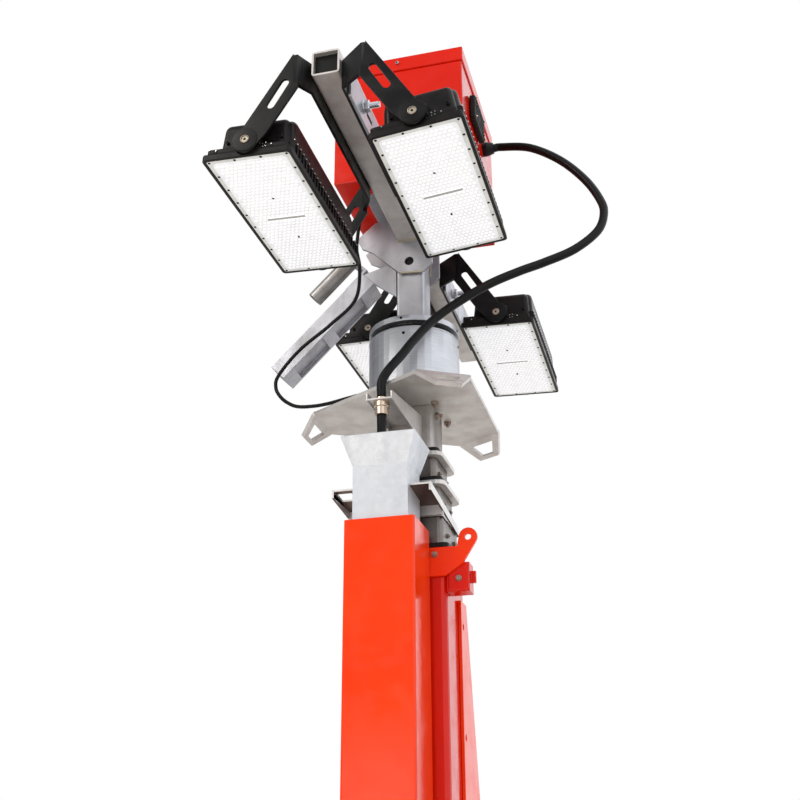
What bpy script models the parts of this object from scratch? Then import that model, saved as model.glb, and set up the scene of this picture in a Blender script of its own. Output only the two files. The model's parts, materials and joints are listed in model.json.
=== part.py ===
"""Telescopic lighting mast with a turning head of four floodlights.

Five nested square steel tubes stand on a base plate.  The smallest tube
carries a guy plate and a rotator, and the rotator carries a post, a
crossbar with four floodlights, and a junction box.  A painted trunk in
front of the mast holds the supply cable.

Units are metres, +Z is up, +X is the right side, and -Y is the front,
where the cable trunk is.  The origin is at the middle of the mast on the
underside of the base plate.
"""

import math

import bmesh
import bpy
from mathutils import Matrix, Vector

for old in list(bpy.data.objects):
    bpy.data.objects.remove(old, do_unlink=True)

# General clearances
SEAT_GAP = 0.0003
WELD_OVERLAP = 0.001
PAD_CLEARANCE = 0.0005

# Heights.  Sizes of the head are measured from the underside of the crossbar.
CROSSBAR_Z = 2.400

# Base plate
BASE_X = 0.340
BASE_FRONT_Y = -0.210
BASE_BACK_Y = 0.200
BASE_THICK = 0.016
BASE_CORNER = 0.020
BASE_HOLE_D = 0.022
BASE_HOLE_INSET = 0.032
BASE_RIB_THICK = 0.008
BASE_RIB_HEIGHT = 0.150
BASE_RIB_X = 0.052
BASE_RIB_Y = -0.036
BASE_RIB_TIP = 0.020

# Square tubes, from the outside in
TUBE_WALL = 0.004
TUBE_CORNER = 0.010
OUTER_WIDTH = 0.150
NEST_STEP = 0.014
OUTER_TOP = CROSSBAR_Z - 0.693
STAGE_BOTTOM = 0.045
STAGE_BOTTOM_STEP = 0.010
STAGE_TOPS = {
    "stage_four": CROSSBAR_Z - 0.621,
    "stage_three": CROSSBAR_Z - 0.557,
    "stage_two": CROSSBAR_Z - 0.495,
}
FLANGE_RIM = 0.014
FLANGE_THICK = 0.009
FLANGE_CORNER = 0.018
PAD_RIM = 0.006
PAD_THICK = 0.010

# Lug plate and bracket at the top of the outer tube
LUG_THICK = 0.0078
LUG_LEFT_X = -OUTER_WIDTH / 2 + 0.001
LUG_RIGHT_X = OUTER_WIDTH / 2 + 0.023
LUG_TOP = OUTER_TOP
LUG_BOTTOM = CROSSBAR_Z - 0.747
LUG_EYE_X = OUTER_WIDTH / 2 + 0.044
LUG_EYE_Z = CROSSBAR_Z - 0.677
LUG_EYE_R = 0.0175
LUG_EYE_HOLE_D = 0.012
TRAY_DEPTH = 0.036
TRAY_WIDTH = 0.043
TRAY_TOP = CROSSBAR_Z - 0.722
TRAY_BOTTOM = CROSSBAR_Z - 0.776
TRAY_WALL = 0.004
TRAY_Y = -OUTER_WIDTH / 2 + 0.019
TRAY_LUG = 0.009

# Rear cheeks of the mast
CHEEK_THICK = 0.006
CHEEK_TOP = CROSSBAR_Z - 0.770
CHEEK_FRONT_Y = 0.020
CHEEK_TOP_Y = 0.068
CHEEK_BACK_Y = 0.180
CHEEK_KNEE_Z = CROSSBAR_Z - 1.255
CHEEK_HOLE_D = 0.012
CHEEK_HOLES_Z = (CROSSBAR_Z - 0.818, CROSSBAR_Z - 1.020, CROSSBAR_Z - 1.800)

# Cable trunk in front of the mast, and the inner trunk with its funnel
TRUNK_X = -0.0185
TRUNK_WIDTH = 0.131
TRUNK_DEPTH = 0.114
TRUNK_STANDOFF = 0.009
TRUNK_BACK_Y = -OUTER_WIDTH / 2 - TRUNK_STANDOFF
TRUNK_TOP = CROSSBAR_Z - 0.663
TRUNK_BOTTOM = 0.260
TRUNK_WALL = 0.003
RAIL_WIDTH = 0.040
INNER_WIDTH = 0.104
INNER_DEPTH = 0.088
INNER_SETBACK = 0.008
INNER_FRONT_Y = TRUNK_BACK_Y - TRUNK_DEPTH + INNER_SETBACK
INNER_WALL = 0.003
INNER_BOTTOM = 0.330
FUNNEL_START = CROSSBAR_Z - 0.560
FUNNEL_TOP = CROSSBAR_Z - 0.505
FUNNEL_WIDTH = 0.142
FUNNEL_DEPTH = 0.114
FUNNEL_SETBACK = 0.010
FUNNEL_BACK_Y = TRUNK_BACK_Y - FUNNEL_SETBACK

# Carrier that ties the inner trunk to the first moving tube
CARRIER_RIM = 0.008
CARRIER_SIDE_RIM = 0.0055
CARRIER_THICK = 0.004
CARRIER_FRONT_Y = INNER_FRONT_Y + 0.012
CARRIER_BACK_Y = 0.052
CARRIER_TOP_FRONT = CROSSBAR_Z - 0.597
CARRIER_TOP_BACK = CROSSBAR_Z - 0.618
CARRIER_LIP = 0.016
CARRIER_LEFT_X = -0.114
CARRIER_LEFT_BACK_Y = -0.060
CARRIER_WINDOW_WIDTH = 0.028
CARRIER_WINDOW_DEPTH = 0.035
CARRIER_PAD_RIM = 0.001

# Guy plate under the rotator
GUY_THICK = 0.008
GUY_BOTTOM = CROSSBAR_Z - 0.390
GUY_LONG_APOTHEM = 0.145
GUY_SHORT_APOTHEM = 0.196
GUY_TAB_ROOT = 0.108
GUY_TAB_TIP = 0.051
GUY_TAB_LENGTH = 0.049
GUY_TAB_ANGLE = 45.0
GUY_SLOT_ROOT = 0.060
GUY_SLOT_TIP = 0.030
GUY_SLOT_INSET = 0.014
GUY_SLOT_HEIGHT = 0.026

# Rotator
DRUM_R = 0.093
DRUM_BODY_TOP = CROSSBAR_Z - 0.233
DRUM_FLANGE_TOP = CROSSBAR_Z - 0.208
DRUM_FLANGE_THICK = 0.012
DRUM_NECK_R = 0.078
DRUM_SPIGOT_R = 0.045
DRUM_SPIGOT_LENGTH = 0.030
SPIGOT_CLEARANCE = 0.0005

# Gland bracket under the guy plate
GLAND_X = -0.0215
GLAND_Y = FUNNEL_BACK_Y - 0.075
CHANNEL_WIDTH = 0.048
CHANNEL_BOTTOM = CROSSBAR_Z - 0.429
CHANNEL_LIP = 0.015
CHANNEL_WALL = 0.003
CHANNEL_FRONT_Y = GLAND_Y - 0.018
CHANNEL_LEFT_BACK_X = -0.0395
CHANNEL_RIGHT_BACK_X = 0.025
CHANNEL_LEFT_DROP = 0.013
CHANNEL_RIGHT_DROP = 0.040
GLAND_D = 0.030
GLAND_BODY_D = 0.026
GLAND_LENGTH = 0.026
GLAND_NECK_D = 0.022

# Post, side plates and crossbar
POST_WIDTH = 0.060
SIDE_PLATE_THICK = 0.006
BAR_WIDTH = 0.050
BAR_WALL = 0.0035
BAR_CORNER = 0.005
BAR_LENGTH = 1.194
PLATE_HOLE_D = 0.020
# Outline of the side plates: x, z from the crossbar's underside
SIDE_PLATE_OUTLINE = [
    (-0.116, 0.018),
    (-0.104, -0.006),
    (-0.081, -0.019),
    (-0.023, -0.075),
    (0.032, -0.079),
    (0.050, -0.063),
    (0.050, 0.020),
    (0.044, 0.054),
    (-0.075, 0.054),
]

# Side arm, sloping down to the left at 45 degrees
ARM_Y_FRONT = -0.038
ARM_Y_BACK = 0.020
ARM_DEPTH = 0.040
ARM_WALL = 0.004
ARM_TOP_OFFSET = -0.027
ARM_START = 0.120
ARM_END = 0.398
ARM_WINDOW = 0.088
ARM_BRIDGE = 0.030
ARM_PLATE_THICK = 0.006
PIPE_R = 0.017
PIPE_Y = -0.008
PIPE_OFFSET = -0.085
PIPE_START = 0.112
PIPE_END = 0.224
PIPE_WALL = 0.003

# Junction box
BOX_X0 = -0.126
BOX_X1 = 0.152
BOX_Y0 = -0.170
BOX_Y1 = 0.160
BOX_BOTTOM = CROSSBAR_Z + 0.075
BOX_LID_BOTTOM = CROSSBAR_Z + 0.338
BOX_TOP = CROSSBAR_Z + 0.372
BOX_WALL = 0.003
LID_RIM = 0.003
BOX_EDGE = 0.0025
CRADLE_X = 0.150
CRADLE_Y0 = -0.120
CRADLE_Y1 = 0.085
CRADLE_THICK = 0.005
CRADLE_DROP = 0.032
VENT_Y0 = -0.100
VENT_Y1 = 0.000
VENT_Z = CROSSBAR_Z + 0.270
VENT_HEIGHT = 0.060
VENT_DEPTH = 0.014
CABLE_EXIT_Y = 0.052
CABLE_EXIT_Z = CROSSBAR_Z + 0.262
EXIT_GLAND_D = 0.032
EXIT_GLAND_LENGTH = 0.024

# Floodlights
PIVOT_Z = CROSSBAR_Z - 0.124
PIVOT_LEFT_X = -0.131
ADJUSTER_OFFSET = 0.026
LAMP_LENGTH = 0.397
LAMP_WIDTH = 0.160
LENS_LENGTH = 0.385
LENS_WIDTH = 0.148
LENS_THICK = 0.004
LENS_PLANE = -0.026
TRAY_HEIGHT = 0.022
FIN_COUNT = 25
FIN_END = 0.022
FIN_THICK = 0.0025
FIN_HEIGHT = 0.014
FIN_REACH = 0.152
DRIVER_WIDTH = 0.094
DRIVER_SINK = 0.012
END_WALL_DEPTH = 0.030
DRIVER_END_GAP = 0.0035
DRIVER_TOP = 0.038
EAR_R = 0.020
EAR_LENGTH = 0.0115
NEAR_LAMP_INSET = 0.1845
FAR_LAMP_INSET = 0.2880
NEAR_LAMP_Y = -BAR_LENGTH / 2 + NEAR_LAMP_INSET
FAR_LAMP_Y = BAR_LENGTH / 2 - FAR_LAMP_INSET

# Lamp yokes
YOKE_THICK = 0.005
YOKE_WEB_X = -0.0253
YOKE_FOLD_X = -0.050
YOKE_TOP = 0.034
YOKE_BOTTOM = -0.026
YOKE_BOSS_R = 0.024
YOKE_SLOT_W = 0.010
YOKE_SLOT_L = 0.050
YOKE_END_GAP = 0.0003
ADJUSTER_THICK = 0.005
ADJUSTER_HALF = 0.150
ADJUSTER_BOLT_Y = 0.075
ADJUSTER_BOLT_D = 0.012

# Cables
POWER_CABLE_D = 0.018
THIN_CABLE_D = 0.0075
DROP_LENGTH = 0.420
CABLE_POINT_SPACING = 2.2

PARTS = bpy.data.collections.new("lighting_mast")
CUTTERS = bpy.data.collections.new("cutters")
bpy.context.scene.collection.children.link(PARTS)
bpy.context.scene.collection.children.link(CUTTERS)


def linear(channel):
    if channel <= 0.04045:
        return channel / 12.92
    return ((channel + 0.055) / 1.055) ** 2.4


def material(name, hex_colour, metallic, roughness):
    mat = bpy.data.materials.new(name)
    mat.use_nodes = True
    shader = mat.node_tree.nodes["Principled BSDF"]
    rgb = [linear(int(hex_colour[i:i + 2], 16) / 255.0) for i in (1, 3, 5)]
    shader.inputs["Base Color"].default_value = (*rgb, 1.0)
    shader.inputs["Metallic"].default_value = metallic
    shader.inputs["Roughness"].default_value = roughness
    return mat


ORANGE = material("orange_gloss_paint", "#F23A0C", 0.0, 0.22)
ZINC = material("hot_dip_zinc", "#B4B6BB", 0.85, 0.42)
SATIN = material("satin_aluminium", "#B9BCC2", 0.95, 0.34)
BLACK_METAL = material("black_powder_coat", "#222325", 0.2, 0.48)
BLACK_PLASTIC = material("black_sliding_pad", "#1A1A1B", 0.0, 0.55)
LENS_PLASTIC = material("clear_optic_lens", "#F2F4F3", 0.0, 0.18)
CABLE_RUBBER = material("black_cable_sheath", "#161617", 0.0, 0.42)
BRASS = material("nickel_brass", "#C9A98A", 0.9, 0.30)


def add_object(name, mesh, mat, collection=PARTS):
    obj = bpy.data.objects.new(name, mesh)
    collection.objects.link(obj)
    if mat is not None:
        mesh.materials.clear()
        mesh.materials.append(mat)
    return obj


def mesh_from(bm, name):
    bmesh.ops.recalc_face_normals(bm, faces=bm.faces)
    mesh = bpy.data.meshes.new(name)
    bm.to_mesh(mesh)
    bm.free()
    return mesh


def bake(obj):
    """Replace an object's data by its evaluated mesh, with no modifiers."""
    graph = bpy.context.evaluated_depsgraph_get()
    graph.update()
    mesh = bpy.data.meshes.new_from_object(obj.evaluated_get(graph))
    bm = bmesh.new()
    bm.from_mesh(mesh)
    bmesh.ops.remove_doubles(bm, verts=bm.verts, dist=0.000005)
    bmesh.ops.recalc_face_normals(bm, faces=bm.faces)
    bm.to_mesh(mesh)
    bm.free()
    name = obj.name
    mats = [slot.material for slot in obj.material_slots]
    matrix = obj.matrix_world.copy()
    collection = obj.users_collection[0]
    bpy.data.objects.remove(obj, do_unlink=True)
    fresh = add_object(name, mesh, mats[0] if mats else None, collection)
    fresh.matrix_world = matrix
    return fresh


def box(name, x, y, z, mat, collection=PARTS):
    """A box between the pairs x, y and z, with its origin at its middle."""
    bm = bmesh.new()
    bmesh.ops.create_cube(bm, size=1.0)
    size = (x[1] - x[0], y[1] - y[0], z[1] - z[0])
    bmesh.ops.scale(bm, vec=size, verts=bm.verts)
    obj = add_object(name, mesh_from(bm, name), mat, collection)
    obj.location = ((x[0] + x[1]) / 2, (y[0] + y[1]) / 2, (z[0] + z[1]) / 2)
    return obj


def round_corners(points, radius, steps=3):
    """Replace each corner of a closed outline by an arc."""
    result = []
    count = len(points)
    for i in range(count):
        corner = Vector(points[i])
        before = Vector(points[i - 1]) - corner
        after = Vector(points[(i + 1) % count]) - corner
        half = before.angle(after) / 2
        if radius <= 0.0 or abs(math.pi / 2 - half) < 0.01:
            result.append(tuple(corner))
            continue
        reach = min(radius / math.tan(half), before.length * 0.45, after.length * 0.45)
        arc_r = reach * math.tan(half)
        start = corner + before.normalized() * reach
        end = corner + after.normalized() * reach
        middle = (before.normalized() + after.normalized()).normalized()
        centre = corner + middle * (arc_r / math.sin(half))
        a0 = math.atan2(start.y - centre.y, start.x - centre.x)
        a1 = math.atan2(end.y - centre.y, end.x - centre.x)
        turn = (a1 - a0 + math.pi) % (2 * math.pi) - math.pi
        for k in range(steps + 1):
            a = a0 + turn * k / steps
            result.append((centre.x + arc_r * math.cos(a), centre.y + arc_r * math.sin(a)))
    return result


def rectangle(x0, x1, y0, y1, radius=0.0, steps=3):
    corners = [(x0, y0), (x1, y0), (x1, y1), (x0, y1)]
    return round_corners(corners, radius, steps) if radius > 0.0 else corners


def slot_ring(start, end, width, steps=6):
    """Outline of a slot with round ends, whose end centres are start and end."""
    a = Vector(start)
    b = Vector(end)
    heading = math.atan2(b.y - a.y, b.x - a.x)
    points = []
    for centre, first in ((b, heading - math.pi / 2), (a, heading + math.pi / 2)):
        for k in range(steps + 1):
            angle = first + math.pi * k / steps
            points.append((centre.x + width / 2 * math.cos(angle),
                           centre.y + width / 2 * math.sin(angle)))
    return points


def circle(cx, cy, radius, count=20):
    step = 2 * math.pi / count
    return [(cx + radius * math.cos(i * step), cy + radius * math.sin(i * step)) for i in range(count)]


# Where a flat outline's own x, y and thickness go in the world
FLAT = Matrix(((1, 0, 0), (0, 1, 0), (0, 0, 1))).to_4x4()
FACING_FRONT = Matrix(((1, 0, 0), (0, 0, -1), (0, 1, 0))).to_4x4()
FACING_SIDE = Matrix(((0, 0, 1), (1, 0, 0), (0, 1, 0))).to_4x4()


def sheet(name, outline, holes, low, high, facing, mat, collection=PARTS):
    """A flat outline with holes, filled and extruded from low to high."""
    curve = bpy.data.curves.new(name, "CURVE")
    curve.dimensions = "2D"
    curve.fill_mode = "BOTH"
    curve.extrude = (high - low) / 2
    for ring in [outline] + list(holes):
        spline = curve.splines.new("POLY")
        spline.points.add(len(ring) - 1)
        for point, (px, py) in zip(spline.points, ring):
            point.co = (px, py, 0.0, 1.0)
        spline.use_cyclic_u = True
    if mat is not None:
        curve.materials.append(mat)
    obj = bpy.data.objects.new(name, curve)
    collection.objects.link(obj)
    middle = (low + high) / 2
    if facing is FACING_FRONT:
        shift = Vector((0, middle, 0))
    elif facing is FACING_SIDE:
        shift = Vector((middle, 0, 0))
    else:
        shift = Vector((0, 0, middle))
    obj.matrix_world = Matrix.Translation(shift) @ facing
    bpy.context.view_layer.update()
    return bake(obj)


def turned(name, profile, mat, location, steps=32, collection=PARTS):
    """A solid turned about Z.  The profile runs from top to bottom."""
    mesh = bpy.data.meshes.new(name)
    edges = [(i, i + 1) for i in range(len(profile) - 1)]
    mesh.from_pydata([(r, 0.0, z) for r, z in profile], edges, [])
    obj = add_object(name, mesh, mat, collection)
    screw = obj.modifiers.new("turn", "SCREW")
    screw.steps = steps
    screw.render_steps = steps
    screw.use_merge_vertices = True
    screw.merge_threshold = 0.00001
    obj.location = location
    bpy.context.view_layer.update()
    obj = bake(obj)
    smooth(obj)
    return obj


def rod(name, start, end, radius, mat, count=20, collection=PARTS):
    """A round bar between two points."""
    start = Vector(start)
    end = Vector(end)
    bm = bmesh.new()
    bmesh.ops.create_cone(
        bm, cap_ends=True, segments=count, radius1=radius, radius2=radius,
        depth=(end - start).length)
    obj = add_object(name, mesh_from(bm, name), mat, collection)
    turn = (end - start).to_track_quat("Z", "Y").to_matrix().to_4x4()
    obj.matrix_world = Matrix.Translation((start + end) / 2) @ turn
    smooth(obj)
    return obj


def smooth(obj, angle=40.0):
    obj.data.shade_smooth()
    obj.data.set_sharp_from_angle(angle=math.radians(angle))


def combine(target, others, operation):
    """Join or cut the target with other objects, which are used up."""
    for other in others:
        mod = target.modifiers.new(operation.lower(), "BOOLEAN")
        mod.operation = operation
        mod.solver = "EXACT"
        mod.object = other
        bpy.context.view_layer.update()
        target = bake(target)
        bpy.data.objects.remove(other, do_unlink=True)
    return target


def fuse(target, *others):
    return combine(target, others, "UNION")


def cut(target, *others):
    return combine(target, others, "DIFFERENCE")


def square_tube(name, half, wall, corner, z0, z1, mat):
    outline = rectangle(-half, half, -half, half, corner)
    inside = half - wall
    hole = rectangle(-inside, inside, -inside, inside, max(corner - wall, 0.001))
    return sheet(name, outline, [hole], z0, z1, FLAT, mat)


def square_ring(name, outer, corner, inner, inner_corner, z0, z1, mat):
    outline = rectangle(-outer, outer, -outer, outer, corner)
    hole = rectangle(-inner, inner, -inner, inner, inner_corner)
    return sheet(name, outline, [hole], z0, z1, FLAT, mat)


def cable(name, points, diameter, mat):
    """A round cable through the given points."""
    curve = bpy.data.curves.new(name, "CURVE")
    curve.dimensions = "3D"
    curve.bevel_depth = diameter / 2
    curve.bevel_resolution = 2
    curve.use_fill_caps = True
    spline = curve.splines.new("POLY")
    fine = spline_through(points, diameter * CABLE_POINT_SPACING)
    spline.points.add(len(fine) - 1)
    for point, co in zip(spline.points, fine):
        point.co = (*co, 1.0)
    curve.materials.append(mat)
    obj = bpy.data.objects.new(name, curve)
    PARTS.objects.link(obj)
    bpy.context.view_layer.update()
    obj = bake(obj)
    smooth(obj)
    return obj


def spline_through(points, spacing):
    """Points about a spacing apart on a smooth curve that passes through the given ones."""
    pts = [Vector(p) for p in points]
    pts = [pts[0] * 2 - pts[1]] + pts + [pts[-1] * 2 - pts[-2]]
    result = []
    for i in range(1, len(pts) - 2):
        p0, p1, p2, p3 = pts[i - 1:i + 3]
        steps = max(1, round((p2 - p1).length / spacing))
        for k in range(steps):
            t = k / steps
            a = 2 * p1 + (p2 - p0) * t
            b = (2 * p0 - 5 * p1 + 4 * p2 - p3) * t * t
            c = (3 * p1 - p0 - 3 * p2 + p3) * t * t * t
            result.append((a + b + c) / 2)
    result.append(pts[-2])
    return result


def empty(name, location, parent=None):
    obj = bpy.data.objects.new(name, None)
    obj.empty_display_size = 0.05
    PARTS.objects.link(obj)
    obj.location = location
    bpy.context.view_layer.update()
    attach(obj, parent)
    return obj


def attach(obj, parent):
    """Parent an object and keep it where it is."""
    if parent is None:
        return
    bpy.context.view_layer.update()
    keep = obj.matrix_world.copy()
    obj.parent = parent
    obj.matrix_parent_inverse = parent.matrix_world.inverted()
    obj.matrix_world = keep


# Outer mast
def make_base_plate():
    half = BASE_X / 2
    outline = rectangle(-half, half, BASE_FRONT_Y, BASE_BACK_Y, BASE_CORNER)
    inset_x = half - BASE_HOLE_INSET
    holes = []
    for x in (-inset_x, inset_x):
        for y in (BASE_FRONT_Y + BASE_HOLE_INSET, BASE_BACK_Y - BASE_HOLE_INSET):
            holes.append(circle(x, y, BASE_HOLE_D / 2, 16))
    plate = sheet("base_plate", outline, holes, 0.0, BASE_THICK, FLAT, ZINC)
    seat = OUTER_WIDTH / 2 + SEAT_GAP
    low = BASE_THICK - WELD_OVERLAP
    top = BASE_THICK + BASE_RIB_HEIGHT
    ribs = []
    front = [(-seat, low), (-seat, top), (BASE_FRONT_Y + BASE_RIB_TIP, BASE_THICK + BASE_RIB_TIP),
             (BASE_FRONT_Y + BASE_RIB_TIP, low)]
    for x in (-BASE_RIB_X, BASE_RIB_X):
        low_x = x - BASE_RIB_THICK / 2
        ribs.append(sheet("rib", front, [], low_x, low_x + BASE_RIB_THICK, FACING_SIDE, ZINC))
    for side in (-1, 1):
        tip = side * (half - BASE_RIB_TIP)
        points = [(side * seat, low), (side * seat, top), (tip, BASE_THICK + BASE_RIB_TIP), (tip, low)]
        low_y = BASE_RIB_Y - BASE_RIB_THICK / 2
        ribs.append(sheet("rib", points, [], low_y, low_y + BASE_RIB_THICK, FACING_FRONT, ZINC))
    return fuse(plate, *ribs)


def make_outer_mast():
    half = OUTER_WIDTH / 2
    made = [make_base_plate()]
    made.append(square_tube(
        "outer_tube", half, TUBE_WALL, TUBE_CORNER, BASE_THICK + SEAT_GAP, OUTER_TOP, ORANGE))
    inner = half - NEST_STEP / 2 + PAD_CLEARANCE
    made.append(square_ring(
        "outer_pad", half + PAD_RIM, TUBE_CORNER, inner, TUBE_CORNER, OUTER_TOP + SEAT_GAP,
        OUTER_TOP + PAD_THICK, BLACK_PLASTIC))
    # Lug plate on the front face, with an eye that leans out to the right
    eye = [
        (LUG_EYE_X + LUG_EYE_R * math.cos(math.radians(a)),
         LUG_EYE_Z + LUG_EYE_R * math.sin(math.radians(a)))
        for a in range(160, -41, -20)
    ]
    outline = [(LUG_LEFT_X, LUG_TOP), (LUG_RIGHT_X, LUG_TOP)] + eye + [
        (LUG_EYE_X - 0.010, LUG_BOTTOM + 0.022), (half, LUG_BOTTOM), (LUG_LEFT_X, LUG_BOTTOM)]
    hole = circle(LUG_EYE_X, LUG_EYE_Z, LUG_EYE_HOLE_D / 2, 14)
    front = -half - SEAT_GAP
    made.append(sheet("lug_plate", outline, [hole], front - LUG_THICK, front, FACING_FRONT, ORANGE))
    # Open tray bracket on the right side
    x0 = half + SEAT_GAP
    tray = box("side_bracket", (x0, x0 + TRAY_WIDTH), (TRAY_Y - TRAY_DEPTH / 2, TRAY_Y + TRAY_DEPTH / 2),
               (TRAY_BOTTOM, TRAY_TOP), ORANGE)
    hollow = box("hollow", (x0 + TRAY_WALL, x0 + TRAY_WIDTH - TRAY_WALL),
                 (TRAY_Y - TRAY_DEPTH, TRAY_Y + TRAY_DEPTH / 2 - TRAY_WALL),
                 (TRAY_BOTTOM + TRAY_WALL, TRAY_TOP - TRAY_WALL), None, CUTTERS)
    tray = cut(tray, hollow)
    lug_x = x0 + TRAY_WIDTH
    lug = box("lug", (lug_x - WELD_OVERLAP, lug_x + TRAY_LUG), (TRAY_Y - 0.004, TRAY_Y + 0.004),
              (TRAY_TOP - 0.036, TRAY_TOP - 0.014), ORANGE)
    made.append(fuse(tray, lug))
    # Rear cheeks
    for name, side in (("rear_cheek_left", -1), ("rear_cheek_right", 1)):
        inner_x = side * (half + SEAT_GAP)
        outer_x = side * (half + SEAT_GAP + CHEEK_THICK)
        foot = BASE_THICK + SEAT_GAP
        outline = [(CHEEK_FRONT_Y, foot), (CHEEK_BACK_Y, foot), (CHEEK_BACK_Y, CHEEK_KNEE_Z),
                   (CHEEK_TOP_Y, CHEEK_TOP), (CHEEK_FRONT_Y, CHEEK_TOP)]
        holes = [circle(CHEEK_FRONT_Y + 0.016, z, CHEEK_HOLE_D / 2, 12) for z in CHEEK_HOLES_Z]
        made.append(sheet(name, outline, holes, min(inner_x, outer_x), max(inner_x, outer_x),
                          FACING_SIDE, ORANGE))
    # Cable trunk and the rail that carries it
    x_left = TRUNK_X - TRUNK_WIDTH / 2
    x_right = TRUNK_X + TRUNK_WIDTH / 2
    outline = rectangle(x_left, x_right, TRUNK_BACK_Y - TRUNK_DEPTH, TRUNK_BACK_Y, 0.004, 2)
    w = TRUNK_WALL
    inside = rectangle(x_left + w, x_right - w, TRUNK_BACK_Y - TRUNK_DEPTH + w, TRUNK_BACK_Y - w)
    made.append(sheet("cable_trunk", outline, [inside], TRUNK_BOTTOM, TRUNK_TOP, FLAT, ORANGE))
    made.append(box("trunk_rail", (TRUNK_X - RAIL_WIDTH / 2, TRUNK_X + RAIL_WIDTH / 2),
                    (TRUNK_BACK_Y + SEAT_GAP, -half - SEAT_GAP),
                    (TRUNK_BOTTOM + 0.040, LUG_BOTTOM - 0.012), ORANGE))
    return made


# Moving stages
def stage_half(index):
    """Half width of the tube with this index, where 0 is the outer tube."""
    return (OUTER_WIDTH - index * NEST_STEP) / 2


def make_stage_tube(name, index, top):
    bottom = STAGE_BOTTOM + (index - 1) * STAGE_BOTTOM_STEP
    return square_tube(name + "_tube", stage_half(index), TUBE_WALL, TUBE_CORNER, bottom, top, ZINC)


def make_stage_pad(name, index, top, rim=PAD_RIM):
    half = stage_half(index)
    inner = stage_half(index + 1) + PAD_CLEARANCE
    return square_ring(name + "_pad", half + rim, TUBE_CORNER, inner, TUBE_CORNER,
                       top + SEAT_GAP, top + PAD_THICK, BLACK_PLASTIC)


def make_stage_flange(name, index, top):
    half = stage_half(index)
    return square_ring(name + "_flange", half + FLANGE_RIM, FLANGE_CORNER, half + SEAT_GAP, TUBE_CORNER,
                       top - FLANGE_THICK, top, ZINC)


def open_funnel(name, sections, wall, mat):
    """A sheet metal duct through rectangles (x0, x1, y0, y1, z), open at both ends."""
    bm = bmesh.new()
    rings = []
    for x0, x1, y0, y1, z in sections:
        verts = [bm.verts.new((x, y, z)) for x, y in ((x0, y0), (x1, y0), (x1, y1), (x0, y1))]
        rings.append([bm.edges.new((verts[i], verts[(i + 1) % 4])) for i in range(4)])
    for lower, upper in zip(rings, rings[1:]):
        bmesh.ops.bridge_loops(bm, edges=lower + upper)
    obj = add_object(name, mesh_from(bm, name), mat)
    # The wall grows inwards from the outer skin, so the skin has to face out
    skin = obj.data.polygons[0]
    middle_x = (sections[0][0] + sections[0][1]) / 2
    middle_y = (sections[0][2] + sections[0][3]) / 2
    outward = Vector((skin.center.x - middle_x, skin.center.y - middle_y, 0.0))
    if skin.normal.dot(outward) < 0.0:
        obj.data.flip_normals()
    solid = obj.modifiers.new("wall", "SOLIDIFY")
    solid.thickness = wall
    solid.offset = -1.0
    solid.use_even_offset = True
    bpy.context.view_layer.update()
    return bake(obj)


def make_stage_four():
    top = STAGE_TOPS["stage_four"]
    made = [make_stage_tube("stage_four", 1, top), make_stage_pad("stage_four", 1, top, CARRIER_PAD_RIM)]
    # Inner trunk with a funnel at its top
    x0 = TRUNK_X - INNER_WIDTH / 2
    x1 = TRUNK_X + INNER_WIDTH / 2
    y1 = INNER_FRONT_Y + INNER_DEPTH
    fx0 = TRUNK_X - FUNNEL_WIDTH / 2
    fx1 = TRUNK_X + FUNNEL_WIDTH / 2
    sections = [
        (x0, x1, INNER_FRONT_Y, y1, INNER_BOTTOM),
        (x0, x1, INNER_FRONT_Y, y1, FUNNEL_START),
        (fx0, fx1, FUNNEL_BACK_Y - FUNNEL_DEPTH, FUNNEL_BACK_Y, FUNNEL_TOP),
    ]
    made.append(open_funnel("inner_trunk", sections, INNER_WALL, ZINC))
    made.append(make_trunk_carrier(top, (x0, x1, y1)))
    return made


def carrier_top(y):
    """Height of the carrier's upper surface, which slopes down to the back."""
    share = (y - CARRIER_FRONT_Y) / (CARRIER_BACK_Y - CARRIER_FRONT_Y)
    return CARRIER_TOP_FRONT + share * (CARRIER_TOP_BACK - CARRIER_TOP_FRONT)


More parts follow.
